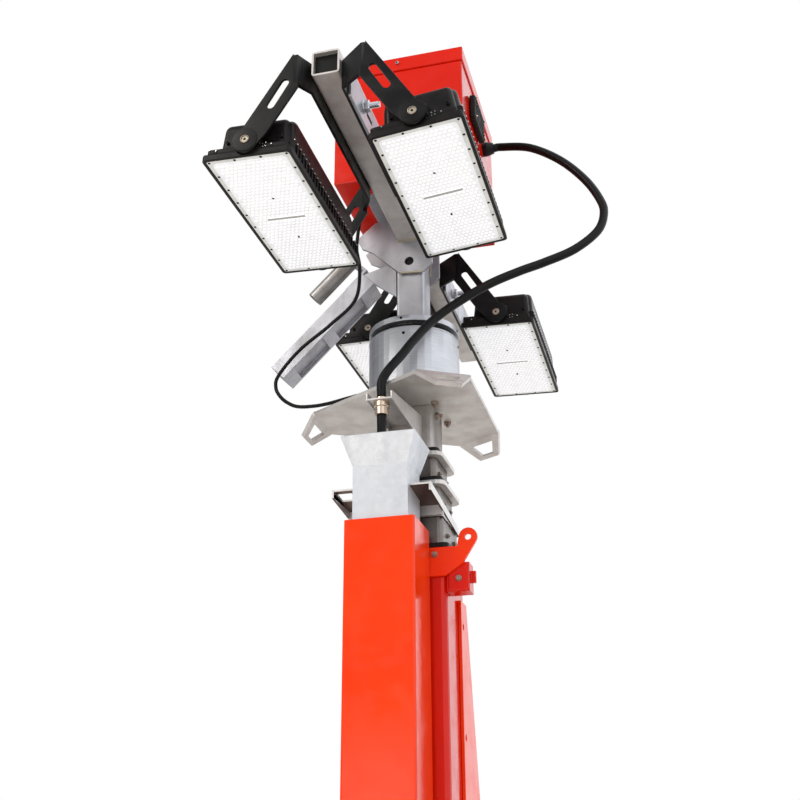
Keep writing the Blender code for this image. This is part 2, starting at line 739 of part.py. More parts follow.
def make_trunk_carrier(top, trunk):
    """A flange round the tube, and a sloping plate with lips that reaches forward to the trunk."""
    x0, x1, y1 = trunk
    half = stage_half(1)
    t = CARRIER_THICK
    left = CARRIER_LEFT_X
    right = half + CARRIER_SIDE_RIM
    front = CARRIER_FRONT_Y
    rim = half + CARRIER_RIM
    seat = half + SEAT_GAP
    ring = sheet(
        "trunk_carrier", rectangle(-rim, right - t + WELD_OVERLAP, -rim, rim, 0.006),
        [rectangle(-seat, seat, -seat, seat, TUBE_CORNER)], top - FLANGE_THICK, top, FLAT, ZINC)
    riser_back = -rim + WELD_OVERLAP
    riser = box("riser", (left + t / 4, right - t / 4), (riser_back - t, riser_back),
                (top - FLANGE_THICK + WELD_OVERLAP, carrier_top(riser_back) - t / 2), ZINC)
    # The plate lies a little inside the lips, which close its front and sides
    step = 0.0004
    ends = (front + step, riser_back - t / 2)
    profile = [(ends[0], carrier_top(ends[0]) - t), (ends[1], carrier_top(ends[1]) - t),
               (ends[1], carrier_top(ends[1]) - step), (ends[0], carrier_top(ends[0]) - step)]
    plate = sheet("plate", profile, [], left + t / 2, right - t / 2, FACING_SIDE, ZINC)
    lips = []
    for low_x, back in ((left, CARRIER_LEFT_BACK_Y), (right - t, CARRIER_BACK_Y)):
        profile = [(front, carrier_top(front) - CARRIER_LIP), (back, carrier_top(back) - CARRIER_LIP),
                   (back, carrier_top(back)), (front, carrier_top(front))]
        lips.append(sheet("lip", profile, [], low_x, low_x + t, FACING_SIDE, ZINC))
    carrier = fuse(ring, riser, plate, *lips)
    depth = (carrier_top(front) - 0.030, carrier_top(front) + 0.030)
    notch = box("notch", (x0 - SEAT_GAP, x1 + SEAT_GAP), (front - 0.020, y1 + SEAT_GAP), depth,
                None, CUTTERS)
    window_x = left + t + 0.002
    window_y = front + 0.013
    window = box("window", (window_x, window_x + CARRIER_WINDOW_WIDTH),
                 (window_y, window_y + CARRIER_WINDOW_DEPTH), depth, None, CUTTERS)
    return cut(carrier, notch, window)


def make_plain_stage(name, index):
    top = STAGE_TOPS[name]
    return [make_stage_tube(name, index, top), make_stage_flange(name, index, top),
            make_stage_pad(name, index, top)]


# Guy plate, rotator housing and cable bracket on the smallest tube
def guy_outline():
    """Hexagon with three long and three short sides, the first long side at +X."""
    lines = []
    for k in range(6):
        angle = math.radians(60 * k)
        apothem = GUY_LONG_APOTHEM if k % 2 == 0 else GUY_SHORT_APOTHEM
        lines.append((math.cos(angle), math.sin(angle), apothem))
    points = []
    for k in range(6):
        a1, b1, c1 = lines[k]
        a2, b2, c2 = lines[(k + 1) % 6]
        det = a1 * b2 - a2 * b1
        points.append(((c1 * b2 - c2 * b1) / det, (a1 * c2 - a2 * c1) / det))
    return points


def make_guy_plate():
    top = GUY_BOTTOM + GUY_THICK
    plate = sheet("guy_plate", guy_outline(), [], GUY_BOTTOM, top, FLAT, ZINC)
    tabs = []
    for angle in (60.0, 180.0, 300.0):
        root = GUY_TAB_ROOT / 2
        tip = GUY_TAB_TIP / 2
        outline = [(-root, -0.004), (root, -0.004), (root, 0.004), (tip, GUY_TAB_LENGTH),
                   (-tip, GUY_TAB_LENGTH), (-root, 0.004)]
        s0 = GUY_SLOT_INSET
        s1 = s0 + GUY_SLOT_HEIGHT
        slot = [(-GUY_SLOT_ROOT / 2, s0), (GUY_SLOT_ROOT / 2, s0), (GUY_SLOT_TIP / 2, s1),
                (-GUY_SLOT_TIP / 2, s1)]
        tab = sheet("tab", outline, [slot], -GUY_THICK / 2, GUY_THICK / 2, FLAT, ZINC)
        tilt = Matrix.Rotation(math.radians(-GUY_TAB_ANGLE), 4, "X")
        turn = Matrix.Rotation(math.radians(angle - 90.0), 4, "Z")
        edge = Matrix.Translation((0.0, GUY_SHORT_APOTHEM, 0.0))
        lift = Matrix.Translation((0.0, 0.0, GUY_BOTTOM + GUY_THICK / 2))
        tab.matrix_world = lift @ turn @ edge @ tilt
        bpy.context.view_layer.update()
        tabs.append(tab)
    return fuse(plate, *tabs)


def make_gland_bracket():
    """A floor plate for the gland between two upright walls that run back to the tube."""
    front = CHANNEL_FRONT_Y
    back = -stage_half(4) - SEAT_GAP
    z0 = CHANNEL_BOTTOM
    x0 = GLAND_X - CHANNEL_WIDTH / 2
    x1 = GLAND_X + CHANNEL_WIDTH / 2
    plan = [(x0, front), (x1, front), (CHANNEL_RIGHT_BACK_X, back), (CHANNEL_LEFT_BACK_X, back)]
    floor = sheet("gland_bracket", plan, [], z0, z0 + CHANNEL_WALL, FLAT, ZINC)
    walls = []
    table = [
        # x at the front, x at the tube, how far the wall hangs below the floor at the tube
        (x0, CHANNEL_LEFT_BACK_X, CHANNEL_LEFT_DROP),
        (x1, CHANNEL_RIGHT_BACK_X, CHANNEL_RIGHT_DROP),
    ]
    step = 0.0006
    for front_x, back_x, drop in table:
        length = math.hypot(back_x - front_x, back - front) - step
        points = [(-step, z0 - step), (length, z0 - drop), (length, z0 + CHANNEL_LIP),
                  (-step, z0 + CHANNEL_LIP)]
        wall = sheet("wall", points, [], -CHANNEL_WALL / 2, CHANNEL_WALL / 2, FACING_SIDE, ZINC)
        heading = math.atan2(back_x - front_x, back - front)
        turn = Matrix.Rotation(-heading, 4, "Z")
        wall.matrix_world = Matrix.Translation((front_x, front, 0.0)) @ turn @ wall.matrix_world
        bpy.context.view_layer.update()
        walls.append(wall)
    bore = rod("bore", (GLAND_X, GLAND_Y, z0 - 0.010), (GLAND_X, GLAND_Y, z0 + 0.010),
               GLAND_NECK_D / 2 + SEAT_GAP, None, 20, CUTTERS)
    return cut(fuse(floor, *walls), bore)


def make_stage_one():
    top = GUY_BOTTOM - SEAT_GAP
    made = [make_stage_tube("stage_one", 4, top), make_guy_plate()]
    base = GUY_BOTTOM + GUY_THICK + SEAT_GAP
    bore = DRUM_SPIGOT_R + SPIGOT_CLEARANCE
    floor = DRUM_BODY_TOP - DRUM_SPIGOT_LENGTH - 0.006
    profile = [(0.0, floor), (bore, floor), (bore, DRUM_BODY_TOP), (DRUM_R, DRUM_BODY_TOP), (DRUM_R, base),
               (0.0, base)]
    made.append(turned("rotator_housing", profile, SATIN, (0, 0, 0), 40))
    made.append(make_gland_bracket())
    z0 = CHANNEL_BOTTOM
    hole = POWER_CABLE_D / 2 + SEAT_GAP
    under = z0 - SEAT_GAP
    profile = [
        (hole, z0 + CHANNEL_WALL + 0.006), (GLAND_NECK_D / 2, z0 + CHANNEL_WALL + 0.006),
        (GLAND_NECK_D / 2, under), (GLAND_D / 2, under), (GLAND_D / 2, under - 0.010),
        (GLAND_BODY_D / 2, under - 0.011), (GLAND_BODY_D / 2, under - GLAND_LENGTH),
        (hole, under - GLAND_LENGTH), (hole, z0 + CHANNEL_WALL + 0.006),
    ]
    made.append(turned("cable_gland", profile, BRASS, (GLAND_X, GLAND_Y, 0), 20))
    drop_top = z0 - 0.004
    made.append(cable("cable_drop", [
        (GLAND_X, GLAND_Y, drop_top), (GLAND_X, GLAND_Y, drop_top - GLAND_LENGTH),
        (GLAND_X, GLAND_Y, drop_top - GLAND_LENGTH - 0.012), (GLAND_X, GLAND_Y + 0.004, drop_top - 0.090),
        (GLAND_X, GLAND_Y + 0.010, drop_top - 0.200), (GLAND_X, GLAND_Y + 0.012, drop_top - DROP_LENGTH),
    ], POWER_CABLE_D, CABLE_RUBBER))
    return made


# Turning head
def along_arm(distance, offset):
    """A point (x, z) at a distance down the 45 degree arm, offset to its lower right."""
    s = math.sqrt(0.5)
    return (s * (offset - distance), CROSSBAR_Z - s * (offset + distance))


def make_side_arm():
    top = ARM_TOP_OFFSET
    low = top + ARM_DEPTH
    outline = [along_arm(ARM_START, top), along_arm(ARM_END, top), along_arm(ARM_END, low),
               along_arm(ARM_START, low)]
    arm = sheet("side_arm", outline, [], ARM_Y_FRONT, ARM_Y_BACK, FACING_FRONT, ZINC)
    w = ARM_WALL
    inside = [along_arm(ARM_START + w, top + w), along_arm(ARM_END - w, top + w),
              along_arm(ARM_END - w, low - w), along_arm(ARM_START + w, low - w)]
    hollow = sheet("hollow", inside, [], ARM_Y_FRONT + w, ARM_Y_BACK - w, FACING_FRONT, None, CUTTERS)
    windows = []
    first = ARM_END - ARM_BRIDGE
    for k in range(2):
        end = first - k * (ARM_WINDOW + ARM_BRIDGE)
        start = end - ARM_WINDOW
        ring = [along_arm(start, low - 2 * w), along_arm(end, low - 2 * w), along_arm(end, low + w),
                along_arm(start, low + w)]
        windows.append(sheet("window", ring, [], ARM_Y_FRONT + w, ARM_Y_BACK - w, FACING_FRONT,
                             None, CUTTERS))
    return cut(arm, hollow, *windows)


def make_arm_plate():
    """Plate that ties the arm to the post."""
    post = -POST_WIDTH / 2 - SEAT_GAP
    low = ARM_TOP_OFFSET + ARM_DEPTH
    a = along_arm(ARM_START - SEAT_GAP, ARM_TOP_OFFSET)
    b = along_arm(ARM_START - SEAT_GAP, low)
    points = [a, b, (post, CROSSBAR_Z - 0.128), (post, CROSSBAR_Z - 0.044)]
    y0 = -POST_WIDTH / 2 + 0.002
    return sheet("arm_plate", points, [], y0, y0 + ARM_PLATE_THICK, FACING_FRONT, ZINC)


def make_arm_pipe():
    centre_high = along_arm(PIPE_START, PIPE_OFFSET)
    centre_low = along_arm(PIPE_END, PIPE_OFFSET)
    high = (centre_high[0], PIPE_Y, centre_high[1])
    low = (centre_low[0], PIPE_Y, centre_low[1])
    pipe = rod("arm_pipe", low, high, PIPE_R, ZINC, 24)
    bore_low = along_arm(PIPE_END + 0.002, PIPE_OFFSET)
    bore_high = along_arm(PIPE_START + 0.008, PIPE_OFFSET)
    bore = rod("bore", (bore_low[0], PIPE_Y, bore_low[1]), (bore_high[0], PIPE_Y, bore_high[1]),
               PIPE_R - PIPE_WALL, None, 24, CUTTERS)
    pipe = cut(pipe, bore)
    smooth(pipe)
    return pipe


def make_pipe_plate():
    """Flat plate that holds the pipe's upper end beside the arm."""
    far = PIPE_OFFSET - PIPE_R - 0.006
    near = ARM_TOP_OFFSET - SEAT_GAP
    start = PIPE_START - SEAT_GAP
    points = [along_arm(start - 0.006, far), along_arm(start, far), along_arm(start, near),
              along_arm(start - 0.006, near)]
    plate = sheet("pipe_plate", points, [], PIPE_Y - 0.022, PIPE_Y + 0.022, FACING_FRONT, ZINC)
    foot = [along_arm(start - 0.006, near - 0.006), along_arm(ARM_START + 0.050, near - 0.006),
            along_arm(ARM_START + 0.050, near), along_arm(start - 0.006, near)]
    return fuse(plate, sheet("foot", foot, [], PIPE_Y - 0.022, PIPE_Y + 0.022, FACING_FRONT, ZINC))


def side_plate_points():
    return [(x, CROSSBAR_Z + z) for x, z in SIDE_PLATE_OUTLINE]


def make_side_plate(name, front_y, hole):
    notch = BAR_WIDTH / 2 + SEAT_GAP
    post = POST_WIDTH / 2
    plate = sheet(name, side_plate_points(), hole, front_y, front_y + SIDE_PLATE_THICK, FACING_FRONT, ZINC)
    slot = box("slot", (-notch, notch), (-post - 0.050, post + 0.050),
               (CROSSBAR_Z - SEAT_GAP, CROSSBAR_Z + 0.100), None, CUTTERS)
    return cut(plate, slot)


def make_crossbar():
    half = BAR_WIDTH / 2
    centre = CROSSBAR_Z + half
    outline = rectangle(-half, half, CROSSBAR_Z, CROSSBAR_Z + BAR_WIDTH, BAR_CORNER)
    inner = half - BAR_WALL
    hole = rectangle(-inner, inner, centre - inner, centre + inner, BAR_CORNER - BAR_WALL)
    return sheet("crossbar", outline, [hole], -BAR_LENGTH / 2, BAR_LENGTH / 2, FACING_FRONT, ZINC)


def make_box():
    """Sheet metal box, open at the top, and the lid that closes it."""
    rim = LID_RIM
    seat = BOX_LID_BOTTOM - SEAT_GAP
    made = []
    table = [
        # name, growth over the box, z range, z range of the hollow
        ("junction_box", 0.0, (BOX_BOTTOM, seat), (BOX_BOTTOM + BOX_WALL, seat + 0.010)),
        ("box_lid", rim, (BOX_LID_BOTTOM, BOX_TOP), (BOX_LID_BOTTOM - 0.010, BOX_TOP - BOX_WALL)),
    ]
    for name, grow, z, hollow_z in table:
        x = (BOX_X0 - grow, BOX_X1 + grow)
        y = (BOX_Y0 - grow, BOX_Y1 + grow)
        shell = box(name, x, y, z, ORANGE)
        edge = shell.modifiers.new("edge", "BEVEL")
        edge.width = BOX_EDGE
        edge.segments = 2
        wall = BOX_WALL + grow
        hollow = box("hollow", (x[0] + wall, x[1] - wall), (y[0] + wall, y[1] - wall), hollow_z,
                     None, CUTTERS)
        made.append(cut(bake(shell), hollow))
    return made


def make_cradle():
    half = CRADLE_X / 2
    top = BOX_BOTTOM - SEAT_GAP
    plate = box("box_cradle", (-half, half), (CRADLE_Y0, CRADLE_Y1), (top - CRADLE_THICK, top), ZINC)
    inner = BAR_WIDTH / 2 + SEAT_GAP
    low = CROSSBAR_Z + BAR_WIDTH - CRADLE_DROP
    legs = []
    for side in (-1, 1):
        x = sorted((side * inner, side * (inner + CRADLE_THICK)))
        legs.append(box("leg", x, (CRADLE_Y0 + 0.005, -POST_WIDTH / 2 - SIDE_PLATE_THICK - 0.004),
                        (low, top - CRADLE_THICK + WELD_OVERLAP), ZINC))
        legs.append(box("leg", x, (POST_WIDTH / 2 + SIDE_PLATE_THICK + 0.004, CRADLE_Y1 - 0.005),
                        (low, top - CRADLE_THICK + WELD_OVERLAP), ZINC))
    return fuse(plate, *legs)


def yoke_arm_points():
    """Outline of one yoke arm for a left lamp: x, z from the crossbar's underside."""
    pz = PIVOT_Z - CROSSBAR_Z
    return [
        (YOKE_FOLD_X, YOKE_TOP),
        (YOKE_FOLD_X, YOKE_BOTTOM),
        (-0.077, -0.088),
        (PIVOT_LEFT_X + 0.020, pz - 0.016),
        (PIVOT_LEFT_X - 0.020, pz + 0.014),
        (-0.119, -0.090),
    ]


def make_yoke_mesh():
    """One yoke, with its lamp's middle at y = 0 and the crossbar's underside at z = 0."""
    t = YOKE_THICK
    arm_y = LAMP_LENGTH / 2 + EAR_LENGTH + YOKE_END_GAP
    web_y = arm_y - abs(YOKE_FOLD_X - YOKE_WEB_X)
    # Web and its two slanted ends, as a strip in plan
    strip = [
        (YOKE_WEB_X - t, -web_y), (YOKE_FOLD_X, -arm_y), (YOKE_FOLD_X, -arm_y - t),
        (YOKE_WEB_X, -web_y - t * 0.4), (YOKE_WEB_X, web_y + t * 0.4), (YOKE_FOLD_X, arm_y + t),
        (YOKE_FOLD_X, arm_y), (YOKE_WEB_X - t, web_y),
    ]
    yoke = sheet("yoke_shape", strip, [], YOKE_BOTTOM, YOKE_TOP, FLAT, BLACK_METAL)
    pz = PIVOT_Z - CROSSBAR_Z
    way = Vector((PIVOT_LEFT_X - YOKE_FOLD_X + 0.018, pz)).normalized()
    mid = Vector((YOKE_FOLD_X - 0.029, -0.040))
    reach = way * (YOKE_SLOT_L - YOKE_SLOT_W) / 2
    slot = slot_ring(mid - reach, mid + reach, YOKE_SLOT_W, 4)
    arms = []
    for side in (-1, 1):
        y = sorted((side * arm_y, side * (arm_y + t)))
        arm = sheet("arm", yoke_arm_points(), [slot], y[0], y[1], FACING_FRONT, BLACK_METAL)
        arms.append(arm)
        arms.append(rod("boss", (PIVOT_LEFT_X, side * arm_y, pz),
                        (PIVOT_LEFT_X, side * (arm_y + t + 0.004), pz), YOKE_BOSS_R, BLACK_METAL, 24))
    return settle(fuse(yoke, *arms))


def make_lamp_meshes():
    """Housing and lens of a floodlight, with the tilt axis through the origin along Y."""
    half_l = LAMP_LENGTH / 2
    half_w = LAMP_WIDTH / 2
    floor = LENS_PLANE
    body = box("housing_shape", (-half_w, half_w), (-half_l, half_l), (floor, floor + TRAY_HEIGHT),
               BLACK_METAL)
    edge = body.modifiers.new("edge", "BEVEL")
    edge.width = 0.003
    edge.segments = 1
    body = bake(body)
    # Pocket for the lens, left open below
    lens_l = LENS_LENGTH / 2
    lens_w = LENS_WIDTH / 2
    pocket = box("pocket", (-lens_w - SEAT_GAP, lens_w + SEAT_GAP), (-lens_l - SEAT_GAP, lens_l + SEAT_GAP),
                 (floor - 0.010, floor + LENS_THICK + SEAT_GAP), None, CUTTERS)
    body = cut(body, pocket)
    # Fins across the back, under the driver box
    bm = bmesh.new()
    pitch = (LAMP_LENGTH - 2 * FIN_END) / (FIN_COUNT - 1)
    z0 = floor + TRAY_HEIGHT - WELD_OVERLAP
    for k in range(FIN_COUNT):
        y = -LAMP_LENGTH / 2 + FIN_END + k * pitch
        found = bmesh.ops.create_cube(bm, size=1.0)
        bmesh.ops.scale(bm, vec=(FIN_REACH, FIN_THICK, FIN_HEIGHT), verts=found["verts"])
        bmesh.ops.translate(bm, vec=(0.0, y, z0 + FIN_HEIGHT / 2), verts=found["verts"])
    fins = add_object("fins", mesh_from(bm, "fins"), BLACK_METAL)
    body = fuse(body, fins)
    # The driver box starts inside the tray, so that its lower bevel is hidden in it
    driver_l = half_l - END_WALL_DEPTH - DRIVER_END_GAP
    driver = box("driver", (-DRIVER_WIDTH / 2, DRIVER_WIDTH / 2), (-driver_l, driver_l),
                 (floor + TRAY_HEIGHT - DRIVER_SINK, DRIVER_TOP), BLACK_METAL)
    edge = driver.modifiers.new("edge", "BEVEL")
    edge.width = 0.010
    edge.segments = 2
    driver = bake(driver)
    body = fuse(body, driver)
    # End walls with the pivot ears
    for side in (-1, 1):
        inner = side * (half_l - END_WALL_DEPTH)
        outer = side * half_l
        wall_floor = floor + TRAY_HEIGHT - WELD_OVERLAP
        wall_outline = [(-0.062, wall_floor), (0.062, wall_floor), (0.036, 0.024), (-0.036, 0.024)]
        y = sorted((inner, outer))
        wall = sheet("wall", wall_outline, [], y[0], y[1], FACING_FRONT, BLACK_METAL)
        ear = rod("ear", (0.0, outer - side * 0.002, 0.0), (0.0, outer + side * EAR_LENGTH, 0.0), EAR_R,
                  BLACK_METAL, 24)
        body = fuse(body, wall, ear)
    lens = box("lens_shape", (-lens_w, lens_w), (-lens_l, lens_l), (floor, floor + LENS_THICK), LENS_PLASTIC)
    return settle(body), settle(lens)


def settle(obj):
    """Move an object's place into its mesh, so that its origin is the world's."""
    bpy.context.view_layer.update()
    obj.data.transform(obj.matrix_world)
    obj.matrix_world = Matrix.Identity(4)
    return obj


def copy_of(source, name, matrix):
    obj = add_object(name, source.data, None)
    obj.matrix_world = matrix
    return obj


def mirrored_mesh(source, name):
    """The same shape for the other side, with its faces still facing out."""
    bm = bmesh.new()
    bm.from_mesh(source.data)
    bmesh.ops.scale(bm, vec=(-1.0, 1.0, 1.0), verts=bm.verts)
    bmesh.ops.reverse_faces(bm, faces=bm.faces)
    mesh = bpy.data.meshes.new(name)
    bm.to_mesh(mesh)
    bm.free()
    return add_object(name, mesh, source.data.materials[0])


def make_adjuster(name, y_mid):
    """Slotted plate and two stand-off bolts that set a right lamp away from the bar."""
    x0 = BAR_WIDTH / 2 + SEAT_GAP
    y0 = y_mid - ADJUSTER_HALF
    y1 = y_mid + ADJUSTER_HALF
    slots = []
    for y in (y_mid - ADJUSTER_BOLT_Y, y_mid + ADJUSTER_BOLT_Y):
        slots.append(slot_ring((y + 0.022, CROSSBAR_Z), (y + 0.050, CROSSBAR_Z), ADJUSTER_BOLT_D))
    plate = sheet(name, rectangle(y0, y1, CROSSBAR_Z - 0.026, CROSSBAR_Z + 0.036), slots, x0,
                  x0 + ADJUSTER_THICK, FACING_SIDE, ZINC)
    x1 = -YOKE_WEB_X + ADJUSTER_OFFSET - SEAT_GAP
    bolts = []
    for y in (y_mid - ADJUSTER_BOLT_Y, y_mid + ADJUSTER_BOLT_Y):
        bolts.append(rod("bolt", (x0 + ADJUSTER_THICK - WELD_OVERLAP, y, CROSSBAR_Z + 0.004),
                         (x1, y, CROSSBAR_Z + 0.004), ADJUSTER_BOLT_D / 2, ZINC, 16))
    return fuse(plate, *bolts)


def make_vent_and_gland():
    x0 = BOX_X1 + SEAT_GAP
    vent = box("box_vent", (x0, x0 + VENT_DEPTH), (VENT_Y0, VENT_Y1),
               (VENT_Z - VENT_HEIGHT / 2, VENT_Z + VENT_HEIGHT / 2), BLACK_PLASTIC)
    edge = vent.modifiers.new("edge", "BEVEL")
    edge.width = 0.004
    edge.segments = 2
    hole = POWER_CABLE_D / 2 + SEAT_GAP
    rim = EXIT_GLAND_D / 2
    profile = [(hole, EXIT_GLAND_LENGTH), (rim - 0.004, EXIT_GLAND_LENGTH), (rim, 0.010),
               (rim, 0.0), (hole, 0.0), (hole, EXIT_GLAND_LENGTH)]
    gland = turned("box_gland", profile, BLACK_PLASTIC, (0, 0, 0), 20)
    turn = Matrix.Rotation(math.radians(90.0), 4, "Y")
    gland.matrix_world = Matrix.Translation((x0, CABLE_EXIT_Y, CABLE_EXIT_Z)) @ turn
    return [vent, gland]


# Points of the supply cable's loop, from the box to the gland: x, y, z from the crossbar
POWER_LOOP = [
    (0.259, 0.040, 0.239),
    (0.324, 0.032, 0.189),
    (0.375, 0.022, 0.123),
    (0.404, 0.010, 0.060),
    (0.410, 0.002, 0.020),
    (0.395, -0.010, -0.027),
    (0.347, -0.026, -0.072),
    (0.286, -0.042, -0.102),
    (0.236, -0.056, -0.123),
    (0.177, -0.074, -0.153),
    (0.118, -0.093, -0.194),
    (0.070, -0.112, -0.237),
    (0.036, -0.133, -0.285),
    (0.013, -0.151, -0.326),
    (-0.008, -0.166, -0.360),
]

# Points of the thin control cable: x, y, z from the crossbar
THIN_LOOP = [
    (-0.085, -0.100, 0.0747),
    (-0.088, -0.100, 0.040),
    (-0.094, -0.100, -0.010),
    (-0.096, -0.100, -0.046),
    (-0.090, -0.097, -0.093),
    (-0.102, -0.088, -0.157),
    (-0.158, -0.080, -0.203),
    (-0.224, -0.074, -0.248),
    (-0.270, -0.070, -0.298),
    (-0.276, -0.069, -0.325),
    (-0.265, -0.070, -0.347),
    (-0.249, -0.068, -0.362),
    (-0.229, -0.062, -0.370),
    (-0.193, -0.066, -0.3745),
    (-0.156, -0.078, -0.3775),
    (-0.109, -0.094, -0.3775),
    (-0.085, -0.096, -0.3760),
    (-0.0580, -0.0734, -0.3740),
]


def make_head():
    made = []
    profile = [
        (0.0, DRUM_FLANGE_TOP), (DRUM_R, DRUM_FLANGE_TOP), (DRUM_R, DRUM_FLANGE_TOP - DRUM_FLANGE_THICK),
        (DRUM_NECK_R, DRUM_FLANGE_TOP - DRUM_FLANGE_THICK), (DRUM_NECK_R, DRUM_BODY_TOP + SEAT_GAP),
        (DRUM_SPIGOT_R, DRUM_BODY_TOP + SEAT_GAP), (DRUM_SPIGOT_R, DRUM_BODY_TOP - DRUM_SPIGOT_LENGTH),
        (0.0, DRUM_BODY_TOP - DRUM_SPIGOT_LENGTH),
    ]
    made.append(turned("rotor_flange", profile, SATIN, (0, 0, 0), 40))
    post = POST_WIDTH / 2
    made.append(square_tube("head_post", post, 0.004, 0.006, DRUM_FLANGE_TOP + SEAT_GAP,
                            CROSSBAR_Z - SEAT_GAP, ZINC))
    hole = [circle(0.0, CROSSBAR_Z - 0.051, PLATE_HOLE_D / 2, 18)]
    made.append(make_side_plate("front_side_plate", -post - SEAT_GAP - SIDE_PLATE_THICK, hole))
    made.append(make_side_plate("rear_side_plate", post + SEAT_GAP, []))
    made.append(make_crossbar())
    made.append(make_side_arm())
    made.append(make_arm_plate())
    made.append(make_arm_pipe())
    made.append(make_pipe_plate())
    made.extend(make_box())
    made.append(make_cradle())
    made.extend(make_vent_and_gland())
    # Yokes and adjusters
    left = make_yoke_mesh()
    right = mirrored_mesh(left, "yoke_right_shape")
    table = [
        # name, shape, x shift, y of the lamp's middle
        ("yoke_front_left", left, 0.0, NEAR_LAMP_Y),
        ("yoke_rear_left", left, 0.0, FAR_LAMP_Y),
        ("yoke_front_right", right, ADJUSTER_OFFSET, NEAR_LAMP_Y),
        ("yoke_rear_right", right, ADJUSTER_OFFSET, FAR_LAMP_Y),
    ]
    for name, shape, shift, y in table:
        made.append(copy_of(shape, name, Matrix.Translation((shift, y, CROSSBAR_Z))))
    for shape in (left, right):
        bpy.data.objects.remove(shape, do_unlink=True)
    made.append(make_adjuster("adjuster_front", NEAR_LAMP_Y))
    made.append(make_adjuster("adjuster_rear", FAR_LAMP_Y))
    # Cables
    start = (BOX_X1 + 0.004, CABLE_EXIT_Y, CABLE_EXIT_Z)
    straight = [(BOX_X1 + EXIT_GLAND_LENGTH + step, CABLE_EXIT_Y, CABLE_EXIT_Z) for step in (0.004, 0.016)]
    end = (GLAND_X, GLAND_Y, CHANNEL_BOTTOM + 0.012)
    above = (GLAND_X, GLAND_Y, GUY_BOTTOM + GUY_THICK / 2)
    loop = [start] + straight + [(x, y, CROSSBAR_Z + z) for x, y, z in POWER_LOOP] + [above, end]
    made.append(cable("power_cable", loop, POWER_CABLE_D, CABLE_RUBBER))
    thin = [(x, y, CROSSBAR_Z + z) for x, y, z in THIN_LOOP]
    made.append(cable("control_cable", thin, THIN_CABLE_D, CABLE_RUBBER))
    return made


def make_lamps(head):
    housing, lens = make_lamp_meshes()
    table = [
        # name, x of the tilt axis, y of the middle, resting tilt in degrees
        ("front_left", PIVOT_LEFT_X, NEAR_LAMP_Y, 2.3),
        ("front_right", -PIVOT_LEFT_X + ADJUSTER_OFFSET, NEAR_LAMP_Y, -6.2),
        ("rear_left", PIVOT_LEFT_X, FAR_LAMP_Y, 0.0),
        ("rear_right", -PIVOT_LEFT_X + ADJUSTER_OFFSET, FAR_LAMP_Y, 2.0),
    ]
    for name, x, y, tilt in table:
        place = Matrix.Translation((x, y, PIVOT_Z))
        axis = empty("tilt_axis_" + name, (x, y, PIVOT_Z), head)
        lean = Matrix.Rotation(math.radians(tilt), 4, "Y")
        for part, source in (("housing", housing), ("lens", lens)):
            obj = copy_of(source, "lamp_" + name + "_" + part, place @ lean)
            attach(obj, axis)
    for shape in (housing, lens):
        bpy.data.objects.remove(shape, do_unlink=True)


def build():
    root = empty("mast_origin", (0, 0, 0))
    for obj in make_outer_mast():
        attach(obj, root)
    parent = root
    stages = [
        ("stage_four", make_stage_four()),
        ("stage_three", make_plain_stage("stage_three", 2)),
        ("stage_two", make_plain_stage("stage_two", 3)),
        ("stage_one", make_stage_one()),
    ]
    for name, pieces in stages:
        axis = empty("slide_axis_" + name, (0, 0, 0), parent)
        for obj in pieces:
            attach(obj, axis)
        parent = axis
    head = empty("turn_axis_head", (0, 0, DRUM_BODY_TOP), parent)
    for obj in make_head():
        attach(obj, head)
    make_lamps(head)
    bpy.context.view_layer.update()


build()
